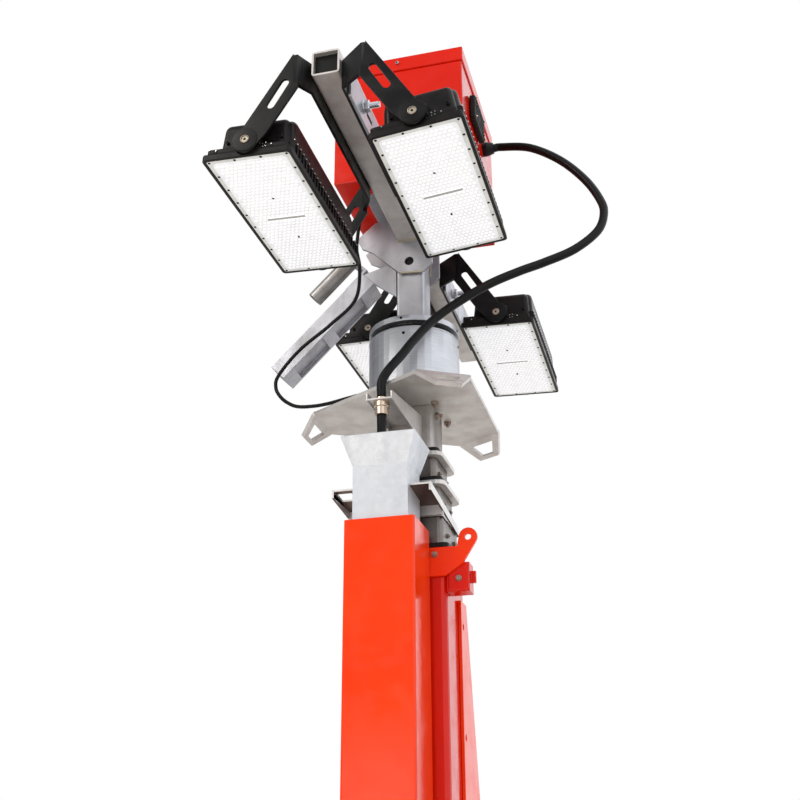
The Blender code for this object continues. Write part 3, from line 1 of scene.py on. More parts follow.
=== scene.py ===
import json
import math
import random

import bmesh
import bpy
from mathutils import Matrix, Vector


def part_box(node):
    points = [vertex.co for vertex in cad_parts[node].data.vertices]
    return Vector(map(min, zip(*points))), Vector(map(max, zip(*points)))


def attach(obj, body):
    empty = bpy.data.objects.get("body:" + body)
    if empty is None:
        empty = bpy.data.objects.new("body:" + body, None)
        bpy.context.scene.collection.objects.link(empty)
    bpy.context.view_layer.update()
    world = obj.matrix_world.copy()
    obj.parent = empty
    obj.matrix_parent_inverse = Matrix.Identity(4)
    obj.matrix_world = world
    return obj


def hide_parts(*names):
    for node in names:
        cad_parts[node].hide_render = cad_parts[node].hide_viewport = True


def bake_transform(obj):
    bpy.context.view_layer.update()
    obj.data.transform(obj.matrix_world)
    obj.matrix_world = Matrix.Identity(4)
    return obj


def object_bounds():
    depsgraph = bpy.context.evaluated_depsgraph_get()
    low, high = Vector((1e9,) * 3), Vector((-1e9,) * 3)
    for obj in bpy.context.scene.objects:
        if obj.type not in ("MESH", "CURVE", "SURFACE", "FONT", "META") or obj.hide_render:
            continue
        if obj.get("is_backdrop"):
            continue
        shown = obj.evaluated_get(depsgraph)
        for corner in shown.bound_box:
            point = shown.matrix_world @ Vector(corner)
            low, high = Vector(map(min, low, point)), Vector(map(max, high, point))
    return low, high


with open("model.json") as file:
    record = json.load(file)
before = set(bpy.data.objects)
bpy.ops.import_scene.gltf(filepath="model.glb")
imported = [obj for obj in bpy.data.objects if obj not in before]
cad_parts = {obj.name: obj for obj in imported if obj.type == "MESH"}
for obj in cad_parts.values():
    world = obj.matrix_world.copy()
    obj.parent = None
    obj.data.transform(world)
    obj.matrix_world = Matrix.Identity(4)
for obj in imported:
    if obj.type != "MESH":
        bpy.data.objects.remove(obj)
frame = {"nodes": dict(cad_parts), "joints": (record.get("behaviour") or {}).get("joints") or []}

# %% [markdown]
# # A lighting mast with four floodlights
#
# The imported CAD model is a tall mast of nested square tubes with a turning
# head.  Every tube, plate and joint already has its true size and place, so
# this script only dresses it: it gives each surface the finish of the real
# one, and adds the small things that CAD leaves out, such as optics, screws
# and welds.  The lamps' castings, the yokes and the clamping plates are made
# anew here, with more of their form.  The scene is in metres, with Z up, X to
# the right and the cable trunk in front, at -Y.

MM = 0.001
CAD_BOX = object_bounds()
NODES = frame["nodes"]
scene = bpy.context.scene
random.seed(11)
print("CAD nodes:", len(NODES), "top of the mast:", round(CAD_BOX[1].z, 3), "m")

# %% [markdown]
# ## The camera
#
# The photograph looks up at the head of the mast from a little below its
# middle.  A camera fitted to it has a lens of about 52 mm on a 36 mm sensor,
# turned 15 degrees to the left and tipped 23 degrees up.  A camera could
# also be aimed at a point with a constraint, but fixed angles keep the frame
# exact.

# %% Camera
LENS_MM, SENSOR_MM = 51.75, 36.0
CAMERA_PLACE = (0.5279, -2.0871, 1.120)
HEADING, PITCH, ROLL = 14.99, 23.23, -0.27

camera_data = bpy.data.cameras.new("photo_camera")
camera_data.sensor_width = SENSOR_MM
camera_data.lens = LENS_MM
camera_data.clip_start = 0.05
camera_data.clip_end = 100.0
camera = bpy.data.objects.new("photo_camera", camera_data)
scene.collection.objects.link(camera)
scene.camera = camera
camera.matrix_world = (
    Matrix.Translation(CAMERA_PLACE)
    @ Matrix.Rotation(math.radians(HEADING), 4, "Z")
    @ Matrix.Rotation(math.radians(90.0 + PITCH), 4, "X")
    @ Matrix.Rotation(math.radians(ROLL), 4, "Z"))
print("camera at", CAMERA_PLACE, "with a", LENS_MM, "mm lens")

# %% [markdown]
# ## Places taken from the frame
#
# The crossbar's underside is the level that most sizes of the head are
# counted from.  The boxes of two CAD nodes give the places where the supply
# cable starts and ends.

# %% Places that many pieces share
def middle_of(node):
    low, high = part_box(node)
    return (low + high) / 2


BAR_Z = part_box("crossbar")[0].z
GLAND_MID = middle_of("cable_gland")
EXIT_LOW, EXIT_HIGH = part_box("box_gland")
EXIT_MID = middle_of("box_gland")
print("underside of the crossbar at", round(BAR_Z, 3), "m")

# %% [markdown]
# ## The cords
#
# The thick supply cable leaves the junction box sideways, swings out in a
# wide loop under its own weight and comes back to a gland in front of the
# mast.  Rubber cable of this thickness is stiff, so the loop is one even
# curve with no tight bend.  A thin control cable hangs from the box to the
# side of the rotator.  A cord could be a cloth or rope simulation, but the
# CAD model already fixes where both lie, so each is a round tube along a
# spline that passes through the same few points.  A curve object makes the
# tube and is then turned into a mesh, because a curve's own box is larger
# than its tube and would spoil the measured size.

# %% A smooth curve through points
def spline_through(points, spacing):
    """Points about a spacing apart on a smooth curve that passes through the given ones."""
    pts = [Vector(p) for p in points]
    pts = [pts[0] * 2 - pts[1]] + pts + [pts[-1] * 2 - pts[-2]]
    result = []
    for i in range(1, len(pts) - 2):
        p0, p1, p2, p3 = pts[i - 1:i + 3]
        steps = max(1, round((p2 - p1).length / spacing))
        for k in range(steps):
            t = k / steps
            a = 2 * p1 + (p2 - p0) * t
            b = (2 * p0 - 5 * p1 + 4 * p2 - p3) * t * t
            c = (3 * p1 - p0 - 3 * p2 + p3) * t * t * t
            result.append((a + b + c) / 2)
    result.append(pts[-2])
    return result


def cable(name, points, diameter, spacing=0.008):
    """A round cable as a mesh tube, its length, and the line that it follows."""
    curve = bpy.data.curves.new(name, "CURVE")
    curve.dimensions = "3D"
    curve.bevel_depth = diameter / 2
    curve.bevel_resolution = 5
    curve.use_fill_caps = True
    fine = spline_through(points, spacing)
    spline = curve.splines.new("POLY")
    spline.points.add(len(fine) - 1)
    for point, co in zip(spline.points, fine):
        point.co = (*co, 1.0)
    spline.use_smooth = True
    guide = bpy.data.objects.new(name + "_guide", curve)
    mesh = bpy.data.meshes.new_from_object(guide)
    bpy.data.objects.remove(guide)
    bpy.data.curves.remove(curve)
    mesh.name = name
    obj = bpy.data.objects.new(name, mesh)
    scene.collection.objects.link(obj)
    length = sum((b - a).length for a, b in zip(fine, fine[1:]))
    print(name, round(length, 3), "m long")
    return obj, length, fine


# %% The supply cable's loop, with heights counted from the crossbar's underside
POWER_D = 0.018
POWER_LOOP = [
    (0.259, 0.040, 0.239), (0.324, 0.032, 0.189), (0.375, 0.022, 0.123), (0.404, 0.010, 0.060),
    (0.410, 0.002, 0.020), (0.395, -0.010, -0.027), (0.347, -0.026, -0.072), (0.286, -0.042, -0.102),
    (0.236, -0.056, -0.123), (0.177, -0.074, -0.153), (0.118, -0.093, -0.194), (0.070, -0.112, -0.237),
    (0.036, -0.133, -0.285), (0.013, -0.151, -0.326), (-0.008, -0.166, -0.360),
]
GUY_MIDDLE_Z = BAR_Z - 0.386
POWER_END_Z = BAR_Z - 0.417
power_points = [(EXIT_LOW.x + 0.004, EXIT_MID.y, EXIT_MID.z)]
power_points += [(EXIT_HIGH.x + step, EXIT_MID.y, EXIT_MID.z) for step in (0.004, 0.016)]
power_points += [(x, y, BAR_Z + z) for x, y, z in POWER_LOOP]
power_points += [(GLAND_MID.x, GLAND_MID.y, GUY_MIDDLE_Z), (GLAND_MID.x, GLAND_MID.y, POWER_END_Z)]
power_cable, power_length, power_line = cable("supply_cable", power_points, POWER_D)

# %% The thin control cable and the drop into the trunk
THIN_D = 0.0075
THIN_LOOP = [
    (-0.085, -0.100, 0.0747), (-0.088, -0.100, 0.040), (-0.094, -0.100, -0.010), (-0.096, -0.100, -0.046),
    (-0.090, -0.097, -0.093), (-0.102, -0.088, -0.157), (-0.158, -0.080, -0.203), (-0.224, -0.074, -0.248),
    (-0.270, -0.070, -0.298), (-0.276, -0.069, -0.325), (-0.265, -0.070, -0.347), (-0.249, -0.068, -0.362),
    (-0.229, -0.062, -0.370), (-0.193, -0.066, -0.3745), (-0.156, -0.078, -0.3775),
    (-0.109, -0.094, -0.3775), (-0.085, -0.096, -0.3760), (-0.0580, -0.0734, -0.3740),
]
thin_points = [(x, y, BAR_Z + z) for x, y, z in THIN_LOOP]
control_cable, control_length, control_line = cable("control_cable_run", thin_points, THIN_D, 0.005)

DROP_TOP_Z = BAR_Z - 0.433
DROP_ROUTE = [
    # y from the gland's middle, and how far below the drop's top
    (0.0, 0.0), (0.0, 0.026), (0.0, 0.038), (0.004, 0.090), (0.010, 0.200), (0.012, 0.420),
]
drop_points = [(GLAND_MID.x, GLAND_MID.y + y, DROP_TOP_Z - down) for y, down in DROP_ROUTE]
drop_cable, drop_length, drop_line = cable("trunk_cable", drop_points, POWER_D)

# %% [markdown]
# Two of them cross from the mast to the turning head, and each is left where it lies, with its place baked
# into its mesh. The third only rides on the first stage.

# %% Place each cord, and hide the CAD node that it replaces
CORDS = [
    # piece, CAD node, line, length, diameter, stiffness
    (power_cable, "power_cable", power_line, power_length, POWER_D, "stiff"),
    (control_cable, "control_cable", control_line, control_length, THIN_D, "medium"),
    (drop_cable, "cable_drop", drop_line, drop_length, POWER_D, "stiff"),
]
# The heights between which each of these cords crosses from the mast to the head
TURNS_BETWEEN = {"supply_cable": (2.000, 2.440), "control_cable_run": (2.032, 2.400)}
for piece, node, line, length, diameter, stiffness in CORDS:
    if piece.name in TURNS_BETWEEN:
        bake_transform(piece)
    else:
        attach(piece, "stage_one")
    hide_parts(node)

# %% [markdown]
# ## Colours
#
# Colours are written as they look on a screen, in sRGB.  Blender's shaders
# count in linear light, so one function turns every colour round.

# %% From a screen colour to linear light
def srgb(hex_colour):
    channels = [int(hex_colour[i:i + 2], 16) / 255.0 for i in (1, 3, 5)]
    linear = [c / 12.92 if c <= 0.04045 else ((c + 0.055) / 1.055) ** 2.4 for c in channels]
    return (*linear, 1.0)


print("mid grey is", round(srgb("#808080")[0], 3), "in linear light")


# %% [markdown]
# ## One way to add a node
#
# Every material below is a small graph of nodes.  A single helper adds a
# node, sets its own properties and fills its sockets, either with a value
# or with a wire from another node's output.

# %% The node helper
def add_node(tree, kind, settings=None, sockets=None):
    node = tree.nodes.new(kind)
    for name, value in (settings or {}).items():
        setattr(node, name, value)
    for name, value in (sockets or {}).items():
        if isinstance(value, bpy.types.NodeSocket):
            tree.links.new(value, node.inputs[name])
        else:
            node.inputs[name].default_value = value
    return node


# %% [markdown]
# ## Studio: a pale floor, a bright sky and two soft lamps
#
# The photograph is cut out on white.  Its glossy faces are pale where they
# look to the right and deep elsewhere, so what they mirrored was brighter on
# the right.  The world is therefore white where the camera looks at it, a
# little weaker as a lamp, and in reflections it goes from dim on the left to
# bright on the right, with a pale ground below.  A picture of a sky could do
# this too, but it would add a file.  The floor is a warm pale grey, which
# throws a warm light up onto the plates.

# %% World
WORLD_LIGHT = 0.86
MIRRORED_LEFT, MIRRORED_RIGHT, MIRRORED_GROUND = 0.38, 1.5, 0.90
HAZE = srgb("#FBFCFF")
world = bpy.data.worlds.new("studio")
scene.world = world
world.use_nodes = True
sky = world.node_tree
sky.nodes.clear()
path = add_node(sky, "ShaderNodeLightPath")
direction = add_node(sky, "ShaderNodeSeparateXYZ", None, {
    0: add_node(sky, "ShaderNodeTexCoord").outputs["Generated"]})
sides = add_node(sky, "ShaderNodeMapRange", {"interpolation_type": "SMOOTHSTEP"}, {
    "Value": direction.outputs["X"], "From Min": -0.30, "From Max": 0.32,
    "To Min": MIRRORED_LEFT, "To Max": MIRRORED_RIGHT})
ground = add_node(sky, "ShaderNodeMapRange", None, {
    "Value": direction.outputs["Z"], "From Min": -0.30, "From Max": -0.05,
    "To Min": MIRRORED_GROUND, "To Max": 0.0})
glow = add_node(sky, "ShaderNodeMath", {"operation": "MAXIMUM"}, {0: sides.outputs[0], 1: ground.outputs[0]})
mirrored = add_node(sky, "ShaderNodeBackground", None, {"Color": HAZE, "Strength": glow.outputs[0]})
light = add_node(sky, "ShaderNodeBackground", None, {"Color": HAZE, "Strength": WORLD_LIGHT})
white = add_node(sky, "ShaderNodeBackground", None, {"Color": srgb("#FFFFFF"), "Strength": 1.0})
lit = add_node(sky, "ShaderNodeMixShader", None, {
    0: path.outputs["Is Glossy Ray"], 1: light.outputs[0], 2: mirrored.outputs[0]})
both = add_node(sky, "ShaderNodeMixShader", None, {
    0: path.outputs["Is Camera Ray"], 1: lit.outputs[0], 2: white.outputs[0]})
add_node(sky, "ShaderNodeOutputWorld", None, {"Surface": both.outputs[0]})

scene.view_settings.view_transform = "Standard"
print("world light", WORLD_LIGHT)

# %% Floor
FLOOR_HALF = 12.0
floor_bm = bmesh.new()
bmesh.ops.create_grid(floor_bm, x_segments=1, y_segments=1, size=FLOOR_HALF)
bmesh.ops.translate(floor_bm, vec=(0.0, 0.0, CAD_BOX[0].z - 0.001), verts=floor_bm.verts)
floor_mesh = bpy.data.meshes.new("floor")
floor_bm.to_mesh(floor_mesh)
floor_bm.free()
floor = bpy.data.objects.new("floor", floor_mesh)
scene.collection.objects.link(floor)
floor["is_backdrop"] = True

floor_finish = bpy.data.materials.new("pale_concrete_floor")
floor_finish.use_nodes = True
floor_shader = floor_finish.node_tree.nodes["Principled BSDF"]
floor_shader.inputs["Base Color"].default_value = srgb("#F0EBE5")
floor_shader.inputs["Roughness"].default_value = 0.9
floor_shader.inputs["Specular IOR Level"].default_value = 0.2
floor_mesh.materials.append(floor_finish)
print("floor", 2 * FLOOR_HALF, "m wide")

# %% Lamps
LAMP_TABLE = [
    # name, place, aim, size in metres, power in watts, colour
    ("front_light", (-2.6, -3.4, 4.6), (0.0, 0.0, 2.1), 2.4, 75.0, "#FFFAF2"),
    ("low_front_light", (-1.1, -4.2, 0.9), (0.0, 0.0, 1.9), 2.0, 22.0, "#FFF6EC"),
]
for name, place, aim, size, power, colour in LAMP_TABLE:
    lamp_data = bpy.data.lights.new(name, "AREA")
    lamp_data.shape = "DISK"
    lamp_data.size = size
    lamp_data.energy = power
    lamp_data.color = srgb(colour)[:3]
    lamp = bpy.data.objects.new(name, lamp_data)
    scene.collection.objects.link(lamp)
    lamp.location = place
    lamp.rotation_euler = (Vector(aim) - Vector(place)).to_track_quat("-Z", "Y").to_euler()
    print(name, power, "W")

# %% [markdown]
# ## Finishes
#
# Each finish starts as a Principled shader with one colour, how metallic it
# is and how rough.  Patterns are added from Object coordinates.  Those are
# metres here, so a pattern whose features are L metres wide has a scale of
# 1 / L.

# %% Start a finish, and the pieces that most patterns share
def new_finish(name, colour, metallic, roughness, **sockets):
    """A material, its node tree, its shader, and the coordinates for its patterns."""
    mat = bpy.data.materials.new(name)
    mat.use_nodes = True
    shader = mat.node_tree.nodes["Principled BSDF"]
    shader.inputs["Base Color"].default_value = srgb(colour)
    shader.inputs["Metallic"].default_value = metallic
    shader.inputs["Roughness"].default_value = roughness
    for socket, value in sockets.items():
        shader.inputs[socket.replace("_", " ")].default_value = value
    place = add_node(mat.node_tree, "ShaderNodeTexCoord").outputs["Object"]
    print("finish:", name)
    return mat, mat.node_tree, shader, place


def per_metre(feature_mm):
    """Pattern scale for features of this size."""
    return 1000.0 / feature_mm


def cloudy(tree, place, feature_mm, detail=2.0, stretch=None):
    """Soft noise from 0 to 1, with features of a real size."""
    if stretch is not None:
        place = add_node(tree, "ShaderNodeMapping", None, {"Vector": place, "Scale": stretch}).outputs[0]
    noise = add_node(tree, "ShaderNodeTexNoise", None, {
        "Vector": place, "Scale": per_metre(feature_mm), "Detail": detail})
    return noise.outputs["Fac"]


def ranged(tree, value, low, high, new_low, new_high):
    """Stretch a value's range, and hold it at the ends."""
    node = add_node(tree, "ShaderNodeMapRange", None, {
        "Value": value, "From Min": low, "From Max": high, "To Min": new_low, "To Max": new_high})
    return node.outputs[0]


def blended(tree, factor, first, second, mode="MIX"):
    """Two colours mixed by a factor."""
    node = add_node(tree, "ShaderNodeMixRGB", {"blend_type": mode}, {
        "Fac": factor, "Color1": first, "Color2": second})
    return node.outputs[0]


def raised(tree, shader, height, depth_mm, strength=1.0):
    """Let a height pattern tilt the surface's normal."""
    bump = add_node(tree, "ShaderNodeBump", None, {
        "Height": height, "Distance": depth_mm / 1000.0, "Strength": strength})
    tree.links.new(bump.outputs[0], shader.inputs["Normal"])


# %% [markdown]
# ### Orange paint
#
# The mast, the trunk and the box are steel with a thick gloss polyester powder coat.  Powder flows out with
# a faint orange peel a few millimetres wide, so reflections of the sky wobble a little.  A thin film of dust
# makes it duller in patches.  A clear coat layer could be used for the gloss, but the paint's own low
# roughness gives the same highlight.  The outer tube and the box look deeper than the trunk in the
# photograph because they stand in shade, so they, the rail and the tray get a deeper tone of the same paint:
# painted shade.

# %% Orange powder coat
STREAK = "#CF2806"


def make_orange_paint(name, bright, deep):
    mat, tree, shader, place = new_finish(name, bright, 0.0, 0.18, Specular_IOR_Level=0.3)
    patches = ranged(tree, cloudy(tree, place, 190.0, 3.0), 0.35, 0.65, 0.0, 1.0)
    colour = blended(tree, patches, srgb(bright), srgb(deep))
    streaks = ranged(tree, cloudy(tree, place, 26.0, 4.0, (1.0, 1.0, 0.14)), 0.58, 0.78, 0.0, 0.22)
    colour = blended(tree, streaks, colour, srgb(STREAK))
    tree.links.new(colour, shader.inputs["Base Color"])
    dust = ranged(tree, cloudy(tree, place, 34.0, 5.0), 0.40, 0.72, 0.12, 0.27)
    tree.links.new(dust, shader.inputs["Roughness"])
    raised(tree, shader, cloudy(tree, place, 3.2, 1.0), 0.05, 0.35)
    return mat


ORANGE = make_orange_paint("orange_gloss_powder_coat", "#FF4004", "#F73803")
# The same paint in a deeper tone, for parts in shade: painted shade
ORANGE_PAINTED_SHADE = make_orange_paint("orange_powder_coat_painted_shade", "#E21E02", "#DA1A02")

# %% [markdown]
# ### Hot-dip galvanised steel
#
# Zinc freezes on steel in flat crystals called spangle, each of which
# reflects the sky a little differently.  They are 9 to 16 mm across here.
# Rain leaves paler, duller runs.  A Voronoi pattern gives every crystal its own flat tone, and soft noise
# gives the runs.  The tones follow the photograph piece by piece: the stage tubes get a darker, glossier
# zinc, and the faces of the trunk's carrier that look down are painted darker and browner, which is painted
# shade.

# %% Galvanised steel
def make_galvanised(name, colour, dull, spangle_mm, dull_roughness=0.52, metallic=0.8, under=None):
    mat, tree, shader, place = new_finish(name, colour, metallic, 0.38)
    bent = blended(tree, 0.02, place, add_node(tree, "ShaderNodeTexNoise", None, {
        "Vector": place, "Scale": per_metre(7.0)}).outputs["Color"])
    crystal = add_node(tree, "ShaderNodeTexVoronoi", None, {
        "Vector": bent, "Scale": per_metre(spangle_mm), "Randomness": 1.0})
    tone = add_node(tree, "ShaderNodeSeparateColor", None, {"Color": crystal.outputs["Color"]})
    runs = ranged(tree, cloudy(tree, place, 42.0, 4.0, (1.0, 1.0, 0.35)), 0.42, 0.66, 0.0, 1.0)
    base = blended(tree, runs, srgb(colour), srgb(dull))
    flecks = ranged(tree, tone.outputs[0], 0.0, 1.0, 0.94, 1.03)
    fleck_colour = add_node(tree, "ShaderNodeCombineColor", None, {0: flecks, 1: flecks, 2: flecks})
    base = blended(tree, 1.0, base, fleck_colour.outputs[0], "MULTIPLY")
    # Faces that look down are blended to a darker, browner colour: painted shade
    if under is not None:
        normal = place.node.outputs["Normal"]
        facing_z = add_node(tree, "ShaderNodeSeparateXYZ", None, {0: normal}).outputs["Z"]
        base = blended(tree, ranged(tree, facing_z, -0.8, -0.4, 1.0, 0.0), base, srgb(under))
    tree.links.new(base, shader.inputs["Base Color"])
    facets = ranged(tree, tone.outputs[1], 0.0, 1.0, 0.36, 0.44)
    rough = add_node(tree, "ShaderNodeMix", {"data_type": "FLOAT"}, {0: runs, 2: facets, 3: dull_roughness})
    tree.links.new(rough.outputs[0], shader.inputs["Roughness"])
    grain = cloudy(tree, place, 2.2, 3.0)
    height = add_node(tree, "ShaderNodeMath", {"operation": "ADD"}, {0: tone.outputs[2], 1: grain})
    raised(tree, shader, height.outputs[0], 0.03, 0.35)
    return mat


ZINC = make_galvanised("galvanised_steel_spangled", "#B4B5BC", "#A5A4A8", 11.0)
ZINC_PALE = make_galvanised("galvanised_sheet_new", "#D3D7DC", "#CACED4", 9.0, 0.56, 0.35)
ZINC_PLATE = make_galvanised("galvanised_plate_brushed", "#D2CFCC", "#C2BDB9", 16.0, 0.46, 0.6)
ZINC_CARRIER = make_galvanised("galvanised_carrier_painted_shade_below", "#DAD9D8", "#CFCCC9", 12.0, 0.4, 0.6,
                               under="#5E4A42")
ZINC_DARK = make_galvanised("galvanised_tube_dull", "#AFADAB", "#98928D", 9.0, 0.4)
# The stage tubes get a darker, glossier zinc
ZINC_TUBE_DARKER = make_galvanised("galvanised_tube_darker_glossier", "#77716D", "#615955", 9.0, 0.26)

# %% [markdown]
# ### Turned and plated metals
#
# The rotator looks like cast aluminium that was turned on a lathe and left
# satin: fine rings run round it, which draw each highlight out into a soft
# vertical band.  Bolts are zinc plated, some bright and some dulled, the
# gland is nickel-plated brass, and the small screws of the lamps are
# stainless steel.

# %% Turned aluminium
def make_turned_aluminium():
    mat, tree, shader, place = new_finish("turned_aluminium_satin", "#BCBFC4", 1.0, 0.30)
    rings = cloudy(tree, place, 0.9, 2.0, (0.02, 0.02, 1.0))
    smear = cloudy(tree, place, 36.0, 3.0)
    tree.links.new(ranged(tree, smear, 0.35, 0.7, 0.38, 0.46), shader.inputs["Roughness"])
    tone = ranged(tree, rings, 0.3, 0.7, 0.0, 1.0)
    tree.links.new(blended(tree, tone, srgb("#B1B4BA"), srgb("#C6C8CC")), shader.inputs["Base Color"])
    raised(tree, shader, rings, 0.02, 0.4)
    return mat


# %% Small plated parts
def make_plated(name, colour, metallic, low_rough, high_rough, feature_mm=5.0):
    """A plated metal with soft handling marks in its gloss."""
    mat, tree, shader, place = new_finish(name, colour, metallic, low_rough)
    marks = cloudy(tree, place, feature_mm, 3.0)
    tree.links.new(ranged(tree, marks, 0.35, 0.7, low_rough, high_rough), shader.inputs["Roughness"])
    raised(tree, shader, marks, 0.02, 0.3)
    return mat


SATIN = make_turned_aluminium()
BOLT_ZINC = make_plated("bright_zinc_plate", "#C3C6CC", 1.0, 0.22, 0.38)
# This bright metal also makes the tips of the lamps' fins, as a painted highlight
STAINLESS_AND_PAINTED_GLINT = make_plated("stainless_screw_and_painted_glint", "#D2D2D0", 1.0, 0.16, 0.28, 3.0)
NICKEL_BRASS = make_plated("nickel_plated_brass", "#CDB8A4", 1.0, 0.18, 0.32)
BOLT_DULL = make_plated("dull_passivated_bolt", "#9A8B80", 0.9, 0.32, 0.5)
WELD = make_plated("weld_bead_heat_tinted", "#B5AE9C", 0.7, 0.34, 0.62, 2.0)

# %% [markdown]
# ### Black finishes
#
# The lamps are die-cast aluminium with a fine-textured black powder coat.  The long cover on each driver box
# is a browner black, which is a painted reflection of the orange mast.  The yokes are bent steel with a
# smoother black coat, the sliding pads are black nylon, and the cables have a matt rubber sheath.  They
# differ little in tone, so the eye tells them apart by their gloss and grain.

# %% Black coats, nylon and rubber
def make_black(name, colour, worn, low_rough, high_rough, grain_mm, grain_depth):
    mat, tree, shader, place = new_finish(name, colour, 0.0, low_rough, Specular_IOR_Level=0.2)
    patches = ranged(tree, cloudy(tree, place, 30.0, 4.0), 0.4, 0.7, 0.0, 1.0)
    tree.links.new(blended(tree, patches, srgb(colour), srgb(worn)), shader.inputs["Base Color"])
    tree.links.new(ranged(tree, patches, 0.0, 1.0, low_rough, high_rough), shader.inputs["Roughness"])
    raised(tree, shader, cloudy(tree, place, grain_mm, 2.0), grain_depth, 0.6)
    return mat


LAMP_BLACK = make_black("black_cast_powder_coat", "#0D0B0B", "#171212", 0.34, 0.5, 1.4, 0.05)
COVER_BLACK_PAINTED_REFLECTION = make_black("black_cover_painted_brown_reflection", "#241B1B", "#2E2323", 0.32, 0.46, 1.4, 0.03)
YOKE_BLACK = make_black("black_bent_steel_coat", "#0C0C0D", "#131314", 0.30, 0.44, 3.0, 0.03)
NYLON = make_black("black_nylon_pad", "#141414", "#232323", 0.40, 0.60, 1.0, 0.05)
RUBBER = make_black("rubber_cable_sheath", "#070708", "#0E0E0F", 0.36, 0.52, 2.0, 0.06)

# %% [markdown]
# ### The optics
#
# Each lamp is closed by one moulded sheet of clear polycarbonate with a little dome over every
# light-emitting diode.  The white board behind shows through, so from below it reads as pearly white domes
# on a pale grey field.  Real refraction through hundreds of domes would be slow and noisy, so the white
# behind is painted on the sheet, under a hard gloss.  In the photograph the sheet is as bright as the
# background, though it looks down, so it gets a faint glow: painted light.

# %% Optic, rim and groove
def make_optic(name, colour, shade, roughness, glow):
    mat, tree, shader, place = new_finish(name, colour, 0.0, roughness, Coat_Weight=0.3, Coat_Roughness=0.06)
    haze = ranged(tree, cloudy(tree, place, 22.0, 3.0), 0.4, 0.7, 0.0, 1.0)
    tint = blended(tree, haze, srgb(colour), srgb(shade))
    tree.links.new(tint, shader.inputs["Base Color"])
    tree.links.new(tint, shader.inputs["Emission Color"])
    # A faint glow that brightens the sheet: painted light
    shader.inputs["Emission Strength"].default_value = glow
    return mat


OPTIC_DOME = make_optic("clear_dome_over_white", "#F8FAFD", "#F2F4F8", 0.14, 0.36)
OPTIC_FIELD = make_optic("clear_sheet_over_white_board", "#E6EAEE", "#DEE2E6", 0.2, 0.30)
OPTIC_RIM = make_optic("clear_rim_over_grey_seal", "#D3D6D3", "#C3C7C4", 0.24, 0.2)
OPTIC_GROOVE = make_optic("frosted_groove", "#B4B7B4", "#A6A9A6", 0.5, 0.0)
# A dull black for the dark screws, and as painted shade in holes, recesses and sockets
DARK_SCREW_AND_PAINTED_SHADE = make_black("dark_screw_and_painted_recess_shade", "#0C0C0C", "#121212", 0.5, 0.7, 2.0, 0.02)

# %% [markdown]
# ## Finish the CAD nodes
#
# Most plates and tubes keep their CAD shape.  A Weld modifier joins their
# loose triangles, a Decimate modifier dissolves the flat ones into whole
# faces, and a small Bevel rounds the edges, so that each edge catches a
# line of light as a real folded or ground edge does.  The mesh itself is
# never touched.

# %% Which node gets which finish, and how wide its edges are rounded
NODE_FINISH = [
    # finish, edge in mm, nodes
    (ZINC_PLATE, 1.2, "base_plate guy_plate gland_bracket stage_three_flange stage_two_flange crossbar"),
    (ORANGE, 1.0, "lug_plate rear_cheek_left rear_cheek_right"),
    (ORANGE, 0.6, "cable_trunk"),
    (ORANGE_PAINTED_SHADE, 1.0, "outer_tube side_bracket trunk_rail"),
    (ORANGE_PAINTED_SHADE, 0.6, "junction_box box_lid"),
    (ZINC_TUBE_DARKER, 0.8, "stage_four_tube stage_three_tube stage_two_tube"),
    (ZINC_CARRIER, 0.8, "trunk_carrier"),
    (ZINC_DARK, 0.8, "stage_one_tube"),
    (ZINC_PALE, 0.6, "inner_trunk"),
    (ZINC, 0.6, "head_post box_cradle pipe_plate arm_plate front_side_plate rear_side_plate"),
    (ZINC, 0.8, "side_arm adjuster_front adjuster_rear"),
    (NYLON, 0.8, "outer_pad stage_four_pad stage_three_pad stage_two_pad"),
    (YOKE_BLACK, 0.8, "yoke_front_left yoke_front_right yoke_rear_left yoke_rear_right"),
    (LAMP_BLACK, 0.8, "lamp_front_left_housing lamp_front_right_housing lamp_rear_left_housing"),
    (LAMP_BLACK, 0.8, "lamp_rear_right_housing"),
    (NYLON, 0.6, "box_vent box_gland"),
    (SATIN, 0.6, "rotator_housing rotor_flange"),
    (ZINC_DARK, 0.5, "arm_pipe"),
    (NICKEL_BRASS, 0.5, "cable_gland"),
    (OPTIC_FIELD, 0.5, "lamp_front_left_lens lamp_front_right_lens lamp_rear_left_lens"),
    (OPTIC_FIELD, 0.5, "lamp_rear_right_lens"),
    (RUBBER, 0.0, "power_cable control_cable cable_drop"),
]


def finish_node(name, finish, edge_mm):
    node = NODES[name]
    node.material_slots[0].material = finish
    if edge_mm == 0.0:
        return
    weld = node.modifiers.new("weld", "WELD")
    weld.merge_threshold = 0.01 * MM
    flat = node.modifiers.new("flat_faces", "DECIMATE")
    flat.decimate_type = "DISSOLVE"
    flat.angle_limit = math.radians(1.0)
    edge = node.modifiers.new("edge", "BEVEL")
    edge.width = edge_mm * MM
    edge.segments = 2
    edge.limit_method = "ANGLE"
    edge.angle_limit = math.radians(50.0)


for finish, edge_mm, names in NODE_FINISH:
    for node_name in names.split():
        finish_node(node_name, finish, edge_mm)
for piece in (power_cable, control_cable, drop_cable):
    piece.data.materials.append(RUBBER)
print("finished nodes:", sum(len(names.split()) for _, _, names in NODE_FINISH), "of", len(NODES))

# %% [markdown]
# ## Tools for the added pieces
#
# Screws, caps and plates are all made in the same three ways: turned round
# an axis, cut from sheet, or shaped from a block.  Each helper builds one such
# shape in its own bmesh, lays it where it belongs with a matrix, and adds it
# to the piece that is being made.  Hundreds of separate objects could be
# used for the screws, but a few joined meshes are lighter and simpler.

